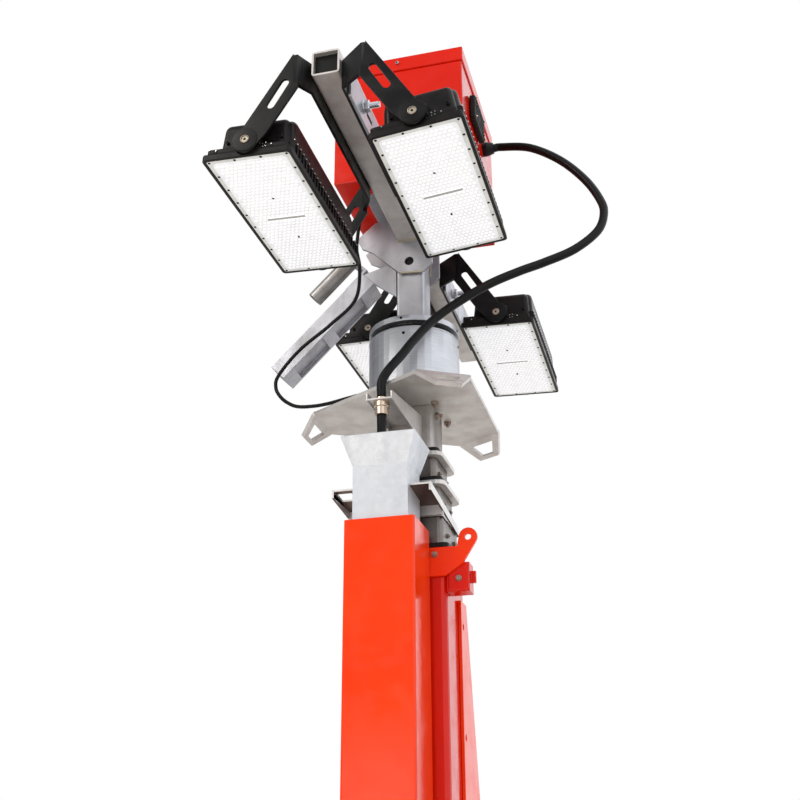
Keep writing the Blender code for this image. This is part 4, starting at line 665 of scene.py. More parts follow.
# %% Add a finished shape to a piece
def add_shape(bm, shape, place, finish=0):
    """Lay one bmesh into another, with a finish number for its faces."""
    bmesh.ops.recalc_face_normals(shape, faces=shape.faces)
    bmesh.ops.transform(shape, matrix=place, verts=shape.verts)
    for face in shape.faces:
        face.material_index = finish
    mesh = bpy.data.meshes.new("shape")
    shape.to_mesh(mesh)
    shape.free()
    bm.from_mesh(mesh)
    bpy.data.meshes.remove(mesh)


def facing(point, direction):
    """A place at a point, with its Z axis along a direction."""
    turn = Vector(direction).to_track_quat("Z", "Y").to_matrix().to_4x4()
    return Matrix.Translation(point) @ turn


# %% Turned, sawn and cut shapes
def add_turned(bm, profile, place, sides=16, finish=0):
    """Turn a profile of (radius, height) pairs round the Z axis.  Six sides make a nut."""
    shape = bmesh.new()
    verts = [shape.verts.new((r, 0.0, z)) for r, z in profile]
    edges = [shape.edges.new(pair) for pair in zip(verts, verts[1:])]
    bmesh.ops.spin(shape, geom=verts + edges, cent=(0, 0, 0), axis=(0, 0, 1), angle=math.tau,
                   steps=sides, use_merge=True)
    bmesh.ops.remove_doubles(shape, verts=shape.verts, dist=1e-6)
    add_shape(bm, shape, place, finish)


def add_disc(bm, radius, low, high, place, sides, finish=0, top=None):
    """A round plate or plug between two heights, narrower at its top if asked."""
    upper = radius if top is None else top
    add_turned(bm, [(0.0, low), (radius, low), (upper, high), (0.0, high)], place, sides, finish)


def round_edges(shape, edges, width, segments):
    bmesh.ops.bevel(shape, geom=edges, offset=width, offset_type="OFFSET", segments=segments,
                    profile=0.5, affect="EDGES", clamp_overlap=True, material=-1)


def add_block(bm, low, high, place=Matrix.Identity(4), finish=0, edge=0.0, segments=2):
    """A block between two corners, with rounded edges."""
    shape = bmesh.new()
    bmesh.ops.create_cube(shape, size=1.0)
    size = Vector(high) - Vector(low)
    bmesh.ops.scale(shape, vec=size, verts=shape.verts)
    if edge > 0.0:
        round_edges(shape, shape.edges, edge, segments)
    middle = (Vector(low) + Vector(high)) / 2
    add_shape(bm, shape, place @ Matrix.Translation(middle), finish)


def add_sheet(bm, outline, holes, thickness, place, finish=0, edge=0.4 * MM):
    """A plate cut from sheet in the XY plane, with softened edges and its middle at Z = 0."""
    curve = bpy.data.curves.new("sheet", "CURVE")
    curve.dimensions = "2D"
    curve.fill_mode = "BOTH"
    curve.extrude = thickness / 2 - edge
    curve.bevel_depth = edge
    curve.bevel_resolution = 1
    curve.offset = -edge
    for points in [outline] + list(holes):
        spline = curve.splines.new("POLY")
        spline.points.add(len(points) - 1)
        for point, (x, y) in zip(spline.points, points):
            point.co = (x, y, 0.0, 1.0)
        spline.use_cyclic_u = True
    guide = bpy.data.objects.new("sheet", curve)
    mesh = bpy.data.meshes.new_from_object(guide)
    bpy.data.objects.remove(guide)
    bpy.data.curves.remove(curve)
    shape = bmesh.new()
    shape.from_mesh(mesh)
    bpy.data.meshes.remove(mesh)
    bmesh.ops.remove_doubles(shape, verts=shape.verts, dist=1e-6)
    add_shape(bm, shape, place, finish)


def arc(centre, radius, start, end, steps):
    """Points on an arc, with its angles in degrees."""
    angles = [math.radians(start + (end - start) * k / steps) for k in range(steps + 1)]
    return [(centre[0] + radius * math.cos(a), centre[1] + radius * math.sin(a)) for a in angles]


def rounded_box(half_x, half_y, radius, steps=5):
    """A rectangle's outline with round corners."""
    points = []
    for x, y, start in ((1, 1, 0), (-1, 1, 90), (-1, -1, 180), (1, -1, 270)):
        centre = (x * (half_x - radius), y * (half_y - radius))
        points += arc(centre, radius, start, start + 90, steps)
    return points


# %% Screws, bolts and beads
def add_cap_screw(bm, place, size, metal=0, dark=1):
    """A socket head cap screw that stands on a surface, with a dark hexagon of painted shade in its head's
    socket.
    """
    r, h = size * 0.75, size
    add_turned(bm, [(0.0, 0.0), (r, 0.0), (r, h * 0.85), (r - h * 0.15, h), (size * 0.45, h),
                    (size * 0.42, h * 0.5), (0.0, h * 0.5)], place, 16, metal)
    add_disc(bm, size * 0.40, h * 0.5, h * 0.56, place, 6, dark)


def add_hex_bolt(bm, place, size, metal=0, shank=0.0, nut_height=0.65):
    """A washer and a hexagon head or nut, with the thread's end standing out of it if asked."""
    washer = size * 0.18
    add_turned(bm, [(0.0, 0.0), (size, 0.0), (size, washer * 0.7), (size * 0.94, washer), (0.0, washer)],
               place, 20, metal)
    top = washer + size * nut_height
    wide = size * 0.92
    add_turned(bm, [(0.0, washer), (wide, washer), (wide, top - size * 0.12), (wide * 0.86, top),
                    (0.0, top)], place, 6, metal)
    if shank > 0.0:
        end = top + shank
        r = size * 0.5
        profile = [(0.0, top)]
        pitch = max(size * 0.14, 1.2 * MM)
        for k in range(int(shank / pitch)):
            profile += [(r, top + k * pitch), (r * 0.88, top + (k + 0.5) * pitch)]
        profile += [(r * 0.9, end), (0.0, end)]
        add_turned(bm, profile, place, 12, metal)


def add_weld(bm, start, end, radius):
    """A weld bead: a row of overlapping drops from one point to another."""
    start, end = Vector(start), Vector(end)
    count = max(2, round((end - start).length / (radius * 0.9)))
    for k in range(count):
        centre = start.lerp(end, (k + 0.5) / count)
        drop = bmesh.new()
        bmesh.ops.create_uvsphere(drop, u_segments=8, v_segments=5, radius=radius * random.uniform(0.9, 1.1))
        add_shape(bm, drop, Matrix.Translation(centre))


# %% [markdown]
# A finished bmesh becomes a piece of the object: it gets its finishes, smooth
# shading with its real corners kept sharp, and the body that it moves with.
# The Weighted Normal modifier keeps large flat faces flat to the eye beside
# their rounded edges.

# %% Make a bmesh a piece of the object
def make_piece(name, bm, finishes, body, replaced=(), sharp=32.0):
    mesh = bpy.data.meshes.new(name)
    bm.to_mesh(mesh)
    bm.free()
    for finish in finishes:
        mesh.materials.append(finish)
    mesh.shade_smooth()
    mesh.set_sharp_from_angle(angle=math.radians(sharp))
    piece = bpy.data.objects.new(name, mesh)
    scene.collection.objects.link(piece)
    level = piece.modifiers.new("face_normals", "WEIGHTED_NORMAL")
    level.keep_sharp = True
    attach(piece, body)
    if replaced:
        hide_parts(*replaced)
    print(name, len(mesh.polygons), "faces")
    return piece

# %% [markdown]
# ## Floodlights
#
# Each lamp is one aluminium casting: a shallow tray that holds the optics,
# a row of cooling fins on its back, and on the fins a long driver box with
# rounded ends.  Everything is made round the tilt axis, which is the lamp's
# origin, and laid in place by a matrix taken from the joint.  The four lamps
# are alike, so one function makes them all.

# %% Where each lamp is, and how far each one leans in the photograph, in degrees
LAMP_TILTS = {"front_left": 2.3, "front_right": -6.2, "rear_left": 0.0, "rear_right": 2.0}
LAMP_PLACES = {}
for joint in frame["joints"]:
    if joint["name"].startswith("tilt_"):
        lamp = joint["name"][5:]
        lean = Matrix.Rotation(math.radians(LAMP_TILTS[lamp]), 4, "Y")
        LAMP_PLACES[lamp] = Matrix.Translation(joint["pos_m"]) @ lean
print("lamps:", ", ".join(LAMP_PLACES))

# %% Sizes of a lamp, in metres from its tilt axis
LAMP_X, LAMP_Y = 0.080, 0.1985
LENS_X, LENS_Y = 0.074, 0.1925
LENS_LOW, LENS_TOP = -0.026, -0.022
SHELF_TOP = -0.004
FIN_LOW, FIN_TOP, FIN_X, FIN_COUNT = -0.0185, 0.009, 0.0785, 25
FIN_HALF, FIN_LAST_Y = 0.00125, LAMP_Y - 0.022
DRIVER_LOW_X, DRIVER_HIGH_X, DRIVER_Y = -0.054, 0.070, 0.185
DRIVER_TOP, DRIVER_ROUND, DRIVER_EDGE = 0.055, 0.018, 0.009
COVER_OUT, COVER_Y = 0.006, 0.168
EAR_X, EAR_TOP, EAR_Y = 0.024, 0.020, 0.170


# %% [markdown]
# ### The optics
#
# The clear sheet has a flat rim where it is screwed down, and inside the rim
# a field that stands a little proud, covered with rows of small domes in a
# staggered grid.  A short groove crosses the middle, with a screw on either
# side of it.  A dome needs only a few faces, because there are hundreds.

# %% The domes
DOME_X, DOME_Y = 0.0080, 0.0098
FIELD_X, FIELD_Y = 0.0635, 0.1820
FIELD_DROP = 0.0012
GROOVE_X, GROOVE_Y = 0.036, 0.0045


def add_domes(bm, place, finish):
    """Rows of shallow domes on the field, each a blunt cone with a raised middle."""
    rows = int(2 * FIELD_Y / DOME_Y)
    columns = int(2 * FIELD_X / DOME_X)
    dome = bmesh.new()
    bmesh.ops.create_cone(dome, cap_ends=True, segments=8, radius1=0.0036, radius2=0.0022, depth=0.0011)
    top = [face for face in dome.faces if face.normal.z > 0.9]
    bmesh.ops.poke(dome, faces=top, offset=0.0005)
    low = [face for face in dome.faces if face.normal.z < -0.9]
    bmesh.ops.delete(dome, geom=low, context="FACES_ONLY")
    bmesh.ops.scale(dome, vec=(1.0, 1.22, -1.0), verts=dome.verts)
    bmesh.ops.recalc_face_normals(dome, faces=dome.faces)
    bmesh.ops.reverse_faces(dome, faces=[f for f in dome.faces if f.normal.z > 0])
    unit = bpy.data.meshes.new("dome")
    dome.to_mesh(unit)
    dome.free()
    for polygon in unit.polygons:
        polygon.material_index = finish
    level = LENS_LOW - FIELD_DROP - 0.0003
    grid = bmesh.new()
    for row in range(rows):
        y = (row - (rows - 1) / 2) * DOME_Y
        shift = DOME_X / 4 if row % 2 else -DOME_X / 4
        for column in range(columns):
            x = (column - (columns - 1) / 2) * DOME_X + shift
            if abs(y) < GROOVE_Y * 2 and abs(x) < GROOVE_X:
                continue
            first = len(grid.verts)
            grid.from_mesh(unit)
            grid.verts.ensure_lookup_table()
            bmesh.ops.translate(grid, vec=(x, y, level), verts=grid.verts[first:])
    bpy.data.meshes.remove(unit)
    bmesh.ops.transform(grid, matrix=place, verts=grid.verts)
    mesh = bpy.data.meshes.new("domes")
    grid.to_mesh(mesh)
    grid.free()
    bm.from_mesh(mesh)
    bpy.data.meshes.remove(mesh)


# %% [markdown]
# The sheet is cut as a flat plate with a round hole for each screw, the
# proud field is laid on it, and the domes come last.  The screws look like
# dark dots from a step away, so each is a short dark plug.

# %% Rim screws, and one lamp's optics
SIDE_SCREWS = 9
SCREW_PLACES = [(sx * (LENS_X - 0.0045), (k / SIDE_SCREWS - 0.5) * 2 * (LENS_Y - 0.0045))
                for sx in (-1, 1) for k in range(SIDE_SCREWS + 1)]
SCREW_PLACES += [(x, sy * (LENS_Y - 0.0045)) for sy in (-1, 1) for x in (-0.0235, 0.0235)]
MIDDLE_SCREWS = [(0.0, -0.067), (0.0, 0.067)]


def make_optics(lamp, place):
    bm = bmesh.new()
    lens_mid = (LENS_LOW + LENS_TOP) / 2
    flat = place @ Matrix.Translation((0.0, 0.0, lens_mid))
    notches = [arc((x, y), 0.0026, 0, 330, 11) for x, y in SCREW_PLACES]
    add_sheet(bm, rounded_box(LENS_X, LENS_Y, 0.005), notches, LENS_TOP - LENS_LOW, flat, 1, 0.6 * MM)
    # The proud field, with softened shoulders
    field_mid = (LENS_LOW - FIELD_DROP + LENS_TOP) / 2
    add_sheet(bm, rounded_box(FIELD_X + 0.003, FIELD_Y + 0.003, 0.010), [], LENS_TOP - LENS_LOW + FIELD_DROP,
              place @ Matrix.Translation((0.0, 0.0, field_mid)), 0, 1.1 * MM)
    add_domes(bm, place, 2)
    # Groove across the middle, drawn as two low ribs with a dull strip between them
    for side in (-1, 1):
        add_block(bm, (-GROOVE_X, side * GROOVE_Y - 0.0008, LENS_LOW - FIELD_DROP - 0.0012),
                  (GROOVE_X, side * GROOVE_Y + 0.0008, LENS_LOW), place, 2, 0.0004, 1)
    add_block(bm, (-GROOVE_X, -GROOVE_Y, LENS_LOW - FIELD_DROP - 0.0002),
              (GROOVE_X, GROOVE_Y, LENS_LOW), place, 3)
    body = "lamp_" + lamp
    make_piece(body + "_optic", bm, [OPTIC_FIELD, OPTIC_RIM, OPTIC_DOME, OPTIC_GROOVE], body,
               [body + "_lens"], 50.0)

    bm = bmesh.new()
    for x, y in SCREW_PLACES + MIDDLE_SCREWS:
        at = place @ facing((x, y, LENS_LOW + 0.0012), (0, 0, -1))
        inner = (x, y) in MIDDLE_SCREWS
        size = 0.0021 if inner else 0.0020
        lift = 0.0026 if inner else 0.0
        add_turned(bm, [(0.0, 0.0), (size, 0.0), (size, lift + 0.0016), (size * 0.6, lift + 0.0021),
                        (0.0, lift + 0.0021)], at, 8, 0)
    make_piece(body + "_rim_screws", bm, [DARK_SCREW_AND_PAINTED_SHADE], body)


# %% [markdown]
# ### The casting
#
# The tray is a block with a frame round the optic.  The fins are thin slabs.
# Their outer corners show as a row of bright dots in the photograph, which are highlights, so each gets a
# small tip of bright metal: a painted highlight.  The driver box has a large radius over its ends, so it
# starts as a block and a bevel rounds only those top edges.

# %% Parts of the casting
def add_driver_box(bm, place, finish, out, half_y):
    """A box with widely rounded ends, its sides and top moved out a little."""
    shape = bmesh.new()
    bmesh.ops.create_cube(shape, size=1.0)
    low = SHELF_TOP - 0.004
    wide, middle = DRIVER_HIGH_X - DRIVER_LOW_X + 2 * out, (DRIVER_HIGH_X + DRIVER_LOW_X) / 2
    top_z = DRIVER_TOP + out * 1.2
    bmesh.ops.scale(shape, vec=(wide, 2 * half_y, top_z - low), verts=shape.verts)
    top = [v for v in shape.verts if v.co.z > 0.0]
    bmesh.ops.scale(shape, vec=(0.91, 1.0, 1.0), verts=top)
    bmesh.ops.translate(shape, vec=(middle, 0.0, (top_z + low) / 2), verts=shape.verts)
    ends = [e for e in shape.edges
            if all(v.co.z > 0.02 for v in e.verts) and abs(e.verts[0].co.y - e.verts[1].co.y) < 1e-6]
    round_edges(shape, ends, DRIVER_ROUND, 10)
    bmesh.ops.remove_doubles(shape, verts=shape.verts, dist=1e-5)
    rims = [e for e in shape.edges if len(e.link_faces) == 2 and e.calc_face_angle(0.0) > 1.0
            and sum(v.co.z for v in e.verts) / 2 > low + 0.002]
    round_edges(shape, rims, DRIVER_EDGE, 4)
    add_shape(bm, shape, place, finish)


def make_casting(lamp, place):
    bm = bmesh.new()
    # Frame round the optic, and the tray in two steps
    frame_mid = LENS_LOW + 0.0045
    add_sheet(bm, rounded_box(LAMP_X, LAMP_Y, 0.007), [rounded_box(LENS_X + 0.0004, LENS_Y + 0.0004, 0.005)],
              0.0105, place @ Matrix.Translation((0.0, 0.0, frame_mid)), 0, 0.9 * MM)
    add_block(bm, (-0.0775, -LAMP_Y + 0.001, LENS_TOP + 0.0002), (0.0775, LAMP_Y - 0.001, -0.014), place,
              0, 0.002)
    add_block(bm, (-0.071, -LAMP_Y + 0.0015, -0.017), (0.071, LAMP_Y - 0.0015, SHELF_TOP), place,
              0, 0.004, 3)
    # Fins, with tips of bright metal as painted highlights
    pitch = 2 * FIN_LAST_Y / (FIN_COUNT - 1)
    for k in range(FIN_COUNT):
        y = -FIN_LAST_Y + k * pitch
        add_block(bm, (-FIN_X, y - FIN_HALF, FIN_LOW), (FIN_X, y + FIN_HALF, FIN_TOP), place, 0, 0.0005, 1)
        for side in (-1, 1):
            x = side * (FIN_X - 0.0012)
            add_block(bm, (x - 0.0014, y - 0.0017, FIN_TOP - 0.0022),
                      (x + 0.0014, y + 0.0017, FIN_TOP + 0.0004), place, 1, 0.0005, 1)
    # The driver's cast body, and its long cover, which is a little wider and stops short of the ends
    add_driver_box(bm, place, 0, 0.0, DRIVER_Y)
    # The cover's browner black is a painted reflection of the orange mast
    add_driver_box(bm, place, 3, COVER_OUT, COVER_Y)
    for side in (-1, 1):
        end = side * DRIVER_Y
        # Plugs at the driver's upper corners, and the pivot's ear
        for x in (-0.034, 0.052):
            at = place @ facing((x, side * (DRIVER_Y - 0.017), DRIVER_TOP - 0.004), (0, side * 0.6, 1))
            plug = [(0.0, -0.004), (0.0045, -0.004), (0.0045, 0.0022), (0.0034, 0.003), (0.0, 0.003)]
            add_turned(bm, plug, at)
        near, far = sorted((side * EAR_Y, side * (LAMP_Y - 0.001)))
        add_block(bm, (-EAR_X, near, LENS_TOP), (EAR_X, far, EAR_TOP), place, 0, 0.006, 3)
        at = place @ facing((0.0, side * (LAMP_Y - 0.007), 0.0), (0, side, 0))
        add_disc(bm, 0.0225, 0.0, 0.0085, at, 32)
        # Cover screws low on the driver's end, and the recessed frame screws in the end face, each recess a
        # dark disc of painted shade
        for x in (-0.040, 0.056):
            add_cap_screw(bm, place @ facing((x, end, 0.012), (0, side, 0)), 0.004, 0, 2)
        for x in (-0.056, 0.044):
            at = place @ facing((x, side * (LAMP_Y - 0.0015), -0.0105), (0, side, 0))
            add_disc(bm, 0.0034, -0.001, 0.0004, at, 14, 2)
            add_disc(bm, 0.0016, 0.0, 0.0014, at @ Matrix.Translation((0.0012, 0.0012, 0.0)), 10, 1, 0.0012)
        # Four bright dots beside the ear, as in the photograph
        for dx, dz in ((0.0, 0.0), (0.006, 0.0006), (0.0004, -0.006), (0.0055, -0.0055)):
            at = place @ facing((0.029 + dx, side * (LAMP_Y - 0.0012), -0.0065 + dz), (0, side, 0))
            add_disc(bm, 0.0012, 0.0, 0.0010, at, 8, 1, 0.0008)
    body = "lamp_" + lamp
    make_piece(body + "_casting", bm, [LAMP_BLACK, STAINLESS_AND_PAINTED_GLINT, DARK_SCREW_AND_PAINTED_SHADE, COVER_BLACK_PAINTED_REFLECTION], body,
               [body + "_housing"], 38.0)


for lamp, place in LAMP_PLACES.items():
    make_optics(lamp, place)
    make_casting(lamp, place)

# %% [markdown]
# ## Yokes
#
# A yoke is one strip of 5 mm steel, cut to shape, folded twice and painted.
# Its web is clamped to the side of the crossbar, and just before each end it
# slants outward to a fold.  The arm runs down from the fold as a bar of even
# width with a slot to turn the lamp, and ends in a round eye on the tilt
# axis.  Web and arms are cut as flat shapes, one seen from above and one
# seen along the bar, and laid against each other.

# %% Outlines, in metres: out from the crossbar's axis, and up from its underside
STRIP = 0.005
ARM_IN = LAMP_Y + 0.0022
PIVOT_OUT, PIVOT_UP = 0.131, -0.124
EYE_R = 0.024
ARM_OUTLINE = [(0.051, 0.037)]
ARM_OUTLINE += arc((PIVOT_OUT, PIVOT_UP), EYE_R, 73.6, -147.8, 26)
ARM_OUTLINE += [(0.0943, -0.1176), (0.040, -0.032), (0.0405, -0.029)]
SLOT_TOP, SLOT_LOW, SLOT_R = (0.064, -0.021), (0.088, -0.062), 0.007
ARM_SLOT = arc(SLOT_TOP, SLOT_R, 31, 211, 8) + arc(SLOT_LOW, SLOT_R, 211, 391, 8)
WEB_LOW, WEB_HIGH = -0.026, 0.034


def make_yoke(lamp, place):
    side = -1 if "left" in lamp else 1
    shift = 0.0 if side < 0 else 0.026
    middle_y = place.translation.y
    bm = bmesh.new()
    # Columns carry "out from the bar" to X, and "up" to Z, with the arm flat in Y
    for end in (-1, 1):
        at = Matrix(((side, 0, 0, shift), (0, 0, 1, middle_y + end * (ARM_IN + STRIP / 2)),
                     (0, 1, 0, BAR_Z), (0, 0, 0, 1)))
        add_sheet(bm, ARM_OUTLINE, [ARM_SLOT], STRIP, at, 0, 0.8 * MM)
    out = ARM_IN + STRIP
    fold = 0.050 + shift
    plan = [(0.0253, 0.171), (fold - 0.007, out), (fold, out), (fold, ARM_IN), (0.0303, 0.1690)]
    web = plan + [(x, -y) for x, y in reversed(plan)]
    at = Matrix(((side, 0, 0, 0), (0, 1, 0, middle_y), (0, 0, 1, BAR_Z + (WEB_LOW + WEB_HIGH) / 2),
                 (0, 0, 0, 1)))
    add_sheet(bm, web, [], WEB_HIGH - WEB_LOW, at, 0, 0.8 * MM)
    pivot_x = shift + side * PIVOT_OUT
    for end in (-1, 1):
        eye = facing((pivot_x, middle_y + end * out, BAR_Z + PIVOT_UP), (0, end, 0))
        add_turned(bm, [(0.0, -0.001), (0.0225, -0.001), (0.0225, 0.0006), (0.0215, 0.0012), (0.0, 0.0012)],
                   eye, 40, 0)
        # The sunk head of the screw that the lamp turns on: a metal ring round a brown socket, with a dark
        # hexagon of painted shade in it
        add_turned(bm, [(0.0058, 0.0005), (0.0078, 0.0005), (0.0078, 0.0024), (0.0070, 0.0030),
                        (0.0062, 0.0030), (0.0058, 0.0022), (0.0058, 0.0005)], eye, 28, 1)
        add_disc(bm, 0.0060, 0.0005, 0.0015, eye, 20, 3)
        add_disc(bm, 0.0026, 0.0014, 0.0018, eye, 6, 2)
    make_piece("yoke_" + lamp + "_bent", bm, [YOKE_BLACK, BOLT_DULL, DARK_SCREW_AND_PAINTED_SHADE, WELD], "head",
               ["yoke_" + lamp], 38.0)


for lamp, place in LAMP_PLACES.items():
    make_yoke(lamp, place)

# %% [markdown]
# On the right of the crossbar a galvanised plate with two slots lies over
# each yoke's web.  Bolts through plate, web and bar clamp the yoke where it
# has been set, and their long threads stick out past the nuts.

# %% Clamping plates
PLATE_HALF_Y, PLATE_HALF_Z, BOLT_Y = 0.150, 0.031, 0.075
SLOT_FROM, SLOT_TO, SLOT_HALF = 0.022, 0.050, 0.0045
PLATE_THICK, PLATE_X, CLAMP_Z = 0.005, 0.0330, BAR_Z + 0.005
for end, lamp in (("front", "front_right"), ("rear", "rear_right")):
    middle_y = LAMP_PLACES[lamp].translation.y
    bm = bmesh.new()
    slots = [arc((y + SLOT_TO, 0.0), SLOT_HALF, -90, 90, 6)
             + arc((y + SLOT_FROM, 0.0), SLOT_HALF, 90, 270, 6) for y in (-BOLT_Y, BOLT_Y)]
    # The sheet's X runs along the bar, its Y up, and its thickness away from the bar
    at = Matrix(((0, 0, 1, PLATE_X), (1, 0, 0, middle_y), (0, 1, 0, CLAMP_Z), (0, 0, 0, 1)))
    add_sheet(bm, rounded_box(PLATE_HALF_Y, PLATE_HALF_Z, 0.004), slots, PLATE_THICK, at, 0, 0.6 * MM)
    for y in (-BOLT_Y, BOLT_Y):
        add_hex_bolt(bm, facing((0.0356, middle_y + y, CLAMP_Z), (1, 0, 0)), 0.012, 1, 0.018, 0.8)
    make_piece("clamp_plate_" + end, bm, [ZINC, BOLT_ZINC], "head", ["adjuster_" + end])

# %% [markdown]
# ## The turning head
#
# Plates and tubes of the head are welded together.  A weld bead is laid drop
# by drop, so it is made as a row of overlapping drops.  All beads of the head
# are joined in one piece.

# %% Weld beads on the head
POST_OUT, BEAD_END = 0.0305, 0.029
PLATE_IN, PLATE_OUT = 0.0303, 0.0363
BAR_WELD_Z, FLANGE_WELD_Z = BAR_Z - 0.001, 2.1935
bm = bmesh.new()
for side in (-1, 1):
    # Post to crossbar, and post to rotor flange
    out = side * POST_OUT
    add_weld(bm, (-BEAD_END, out, BAR_WELD_Z), (BEAD_END, out, BAR_WELD_Z), 0.0026)
    add_weld(bm, (out, -BEAD_END, FLANGE_WELD_Z), (out, BEAD_END, FLANGE_WELD_Z), 0.0028)
    add_weld(bm, (-BEAD_END, out, FLANGE_WELD_Z), (BEAD_END, out, FLANGE_WELD_Z), 0.0028)
    # Side plates to the post, along their lower and inner edges
    plate_y = side * (PLATE_OUT - 0.001)
    add_weld(bm, (-0.020, plate_y, BAR_Z - 0.0765), (0.028, plate_y, BAR_Z - 0.0800), 0.0024)
    inner_y = side * PLATE_IN
    add_weld(bm, (POST_OUT, inner_y, BAR_Z - 0.060), (POST_OUT, inner_y, BAR_Z - 0.004), 0.0022)
    # Side plates to the crossbar, along its lower corners
    for x in (-0.0245, 0.0245):
        add_weld(bm, (x, side * 0.034, BAR_Z + 0.004), (x, side * 0.034, BAR_Z + 0.018), 0.0022)
for y in (-0.0370, 0.0370):
    add_weld(bm, (-0.024, y, BAR_Z - 0.0008), (0.024, y, BAR_Z - 0.0008), 0.0022)
make_piece("head_welds", bm, [WELD], "head")

# %% [markdown]
# The rotator is a turned drum on the mast and a flange that turns on top of
# it.  Small dark screws sit round both, and a black plug stands in the gap
# between them.  The edges of the drum are bright where they were turned.  The
# eight socket screws on the flange are a guess, because they look upward.

# %% Screws of the rotator
DRUM_R = 0.093
FLANGE_SCREW_R, FLANGE_TOP = 0.080, 2.1922
QUARTERS = (-92.0, -2.0, 88.0, 178.0)
LOWER_SCREWS_Z, UPPER_SCREWS_Z, FLANGE_SCREWS_Z = 2.034, 2.152, 2.186
PLUG_ANGLE, PLUG_R, PLUG_Z = -158.0, 0.0775, 2.1735
RIM_IN, RIM_OUT, RIMS_Z = DRUM_R - 0.002, DRUM_R + 0.0006, (2.0205, 2.1645)


def spoke(angle_deg):
    """The level direction at an angle from +X."""
    angle = math.radians(angle_deg)
    return Vector((math.cos(angle), math.sin(angle), 0.0))


def around(angle_deg, radius, z):
    """A place on a circle round the mast, with its Z axis outward."""
    way = spoke(angle_deg)
    return facing(way * radius + Vector((0.0, 0.0, z)), way)


def add_drum_screw(bm, angle_deg, z, radius):
    add_turned(bm, [(0.0, 0.0), (radius, 0.0), (radius, 0.0012), (0.0, 0.0016)],
               around(angle_deg, DRUM_R - 0.0006, z), 12, 1)


bm = bmesh.new()
for k in range(8):
    spot = spoke(22.5 + 45.0 * k) * FLANGE_SCREW_R + Vector((0.0, 0.0, FLANGE_TOP))
    add_cap_screw(bm, facing(spot, (0, 0, 1)), 0.005, 0, 1)
for angle_deg in QUARTERS:
    add_drum_screw(bm, angle_deg, FLANGE_SCREWS_Z, 0.0028)
make_piece("rotor_screws", bm, [BOLT_ZINC, DARK_SCREW_AND_PAINTED_SHADE], "head")

bm = bmesh.new()
for angle_deg in QUARTERS:
    add_drum_screw(bm, angle_deg, LOWER_SCREWS_Z, 0.0032)
    add_drum_screw(bm, angle_deg + 3.0, UPPER_SCREWS_Z, 0.0032)
# A black plug that stands in the gap, left of the front
add_turned(bm, [(0.0, 0.0), (0.0045, 0.0), (0.0045, 0.011), (0.0035, 0.0125), (0.0, 0.0125)],
           around(PLUG_ANGLE, PLUG_R, PLUG_Z), 16, 2)
# Bright rims turned on both edges of the drum
for z in RIMS_Z:
    profile = [(RIM_IN, z - 0.0018), (RIM_OUT, z - 0.0010), (RIM_OUT, z + 0.0010), (RIM_IN, z + 0.0018)]
    add_turned(bm, profile, Matrix.Identity(4), 96, 3)
make_piece("rotator_screws", bm, [BOLT_ZINC, DARK_SCREW_AND_PAINTED_SHADE, NYLON, SATIN], "stage_one")

# %% [markdown]
# A yoke hides the place where the thin cable leaves the bottom of the junction
# box.  A box that stands in the rain has a gland there, so a small one of
# black nylon is made: a hexagon that is held with a spanner, and a domed nut
# that squeezes a seal onto the cable.

# %% Gland of the thin cable
bm = bmesh.new()
at = facing(thin_points[0], (0, 0, -1))
add_turned(bm, [(0.0040, 0.0004), (0.0098, 0.0004), (0.0098, 0.0054), (0.0040, 0.0054)], at, 6, 0)
add_turned(bm, [(0.0039, 0.0054), (0.0086, 0.0054), (0.0086, 0.0110), (0.0074, 0.0150), (0.0052, 0.0168),
                (0.0039, 0.0168)], at, 24, 0)
make_piece("thin_gland", bm, [NYLON], "head")

# %% [markdown]
# The round hole in the front side plate looks dark, because little light gets in behind it, so a thin dark
# disc stands in for that.  A black ring fills the gap between the drum and the flange and darkens it.

# %% Dark hole, and the ring in the rotor's gap
bm = bmesh.new()
add_disc(bm, 0.0097, 0.0, 0.0003, facing((0.0, -0.0308, BAR_Z - 0.051), (0, -1, 0)), 24)
make_piece("side_plate_hole", bm, [DARK_SCREW_AND_PAINTED_SHADE], "head")
bm = bmesh.new()
add_turned(bm, [(0.0783, 2.1676), (0.0792, 2.1680), (0.0792, 2.1791), (0.0783, 2.1795)],
           Matrix.Identity(4), 64, 0)
make_piece("rotor_gap_ring", bm, [NYLON], "stage_one")

# %% [markdown]
# Looking into the crossbar's open ends one sees almost nothing, because
# little light gets in.  A dull black plate set a little way in does the same
# for a picture.

# %% The dark inside of the crossbar
bm = bmesh.new()
for end in (-1, 1):
    near, far = sorted((end * 0.586, end * 0.588))
    add_block(bm, (-0.0212, near, BAR_Z + 0.0038), (0.0212, far, BAR_Z + 0.0462))
make_piece("crossbar_dark", bm, [DARK_SCREW_AND_PAINTED_SHADE], "head")

# %% [markdown]
# ## Fasteners of the mast
#
# Hexagon bolts hold the guy plate, the sliding pads, the lug and the small
# tray beside it.  The photograph shows the right-hand bolts of the first
# stage and of the lug, and the one on the tray.  The others are a guess,
# from how such masts are held together.

# %% A row of bolts as one piece
def bolt_piece(name, body, bolts):
    """Bolts from a table of place, direction, size and how far the thread stands out."""
    bm = bmesh.new()
    for place, direction, size, shank in bolts:
        add_hex_bolt(bm, facing(place, direction), size, 0, shank)
    make_piece(name, bm, [BOLT_DULL], body, (), 30.0)


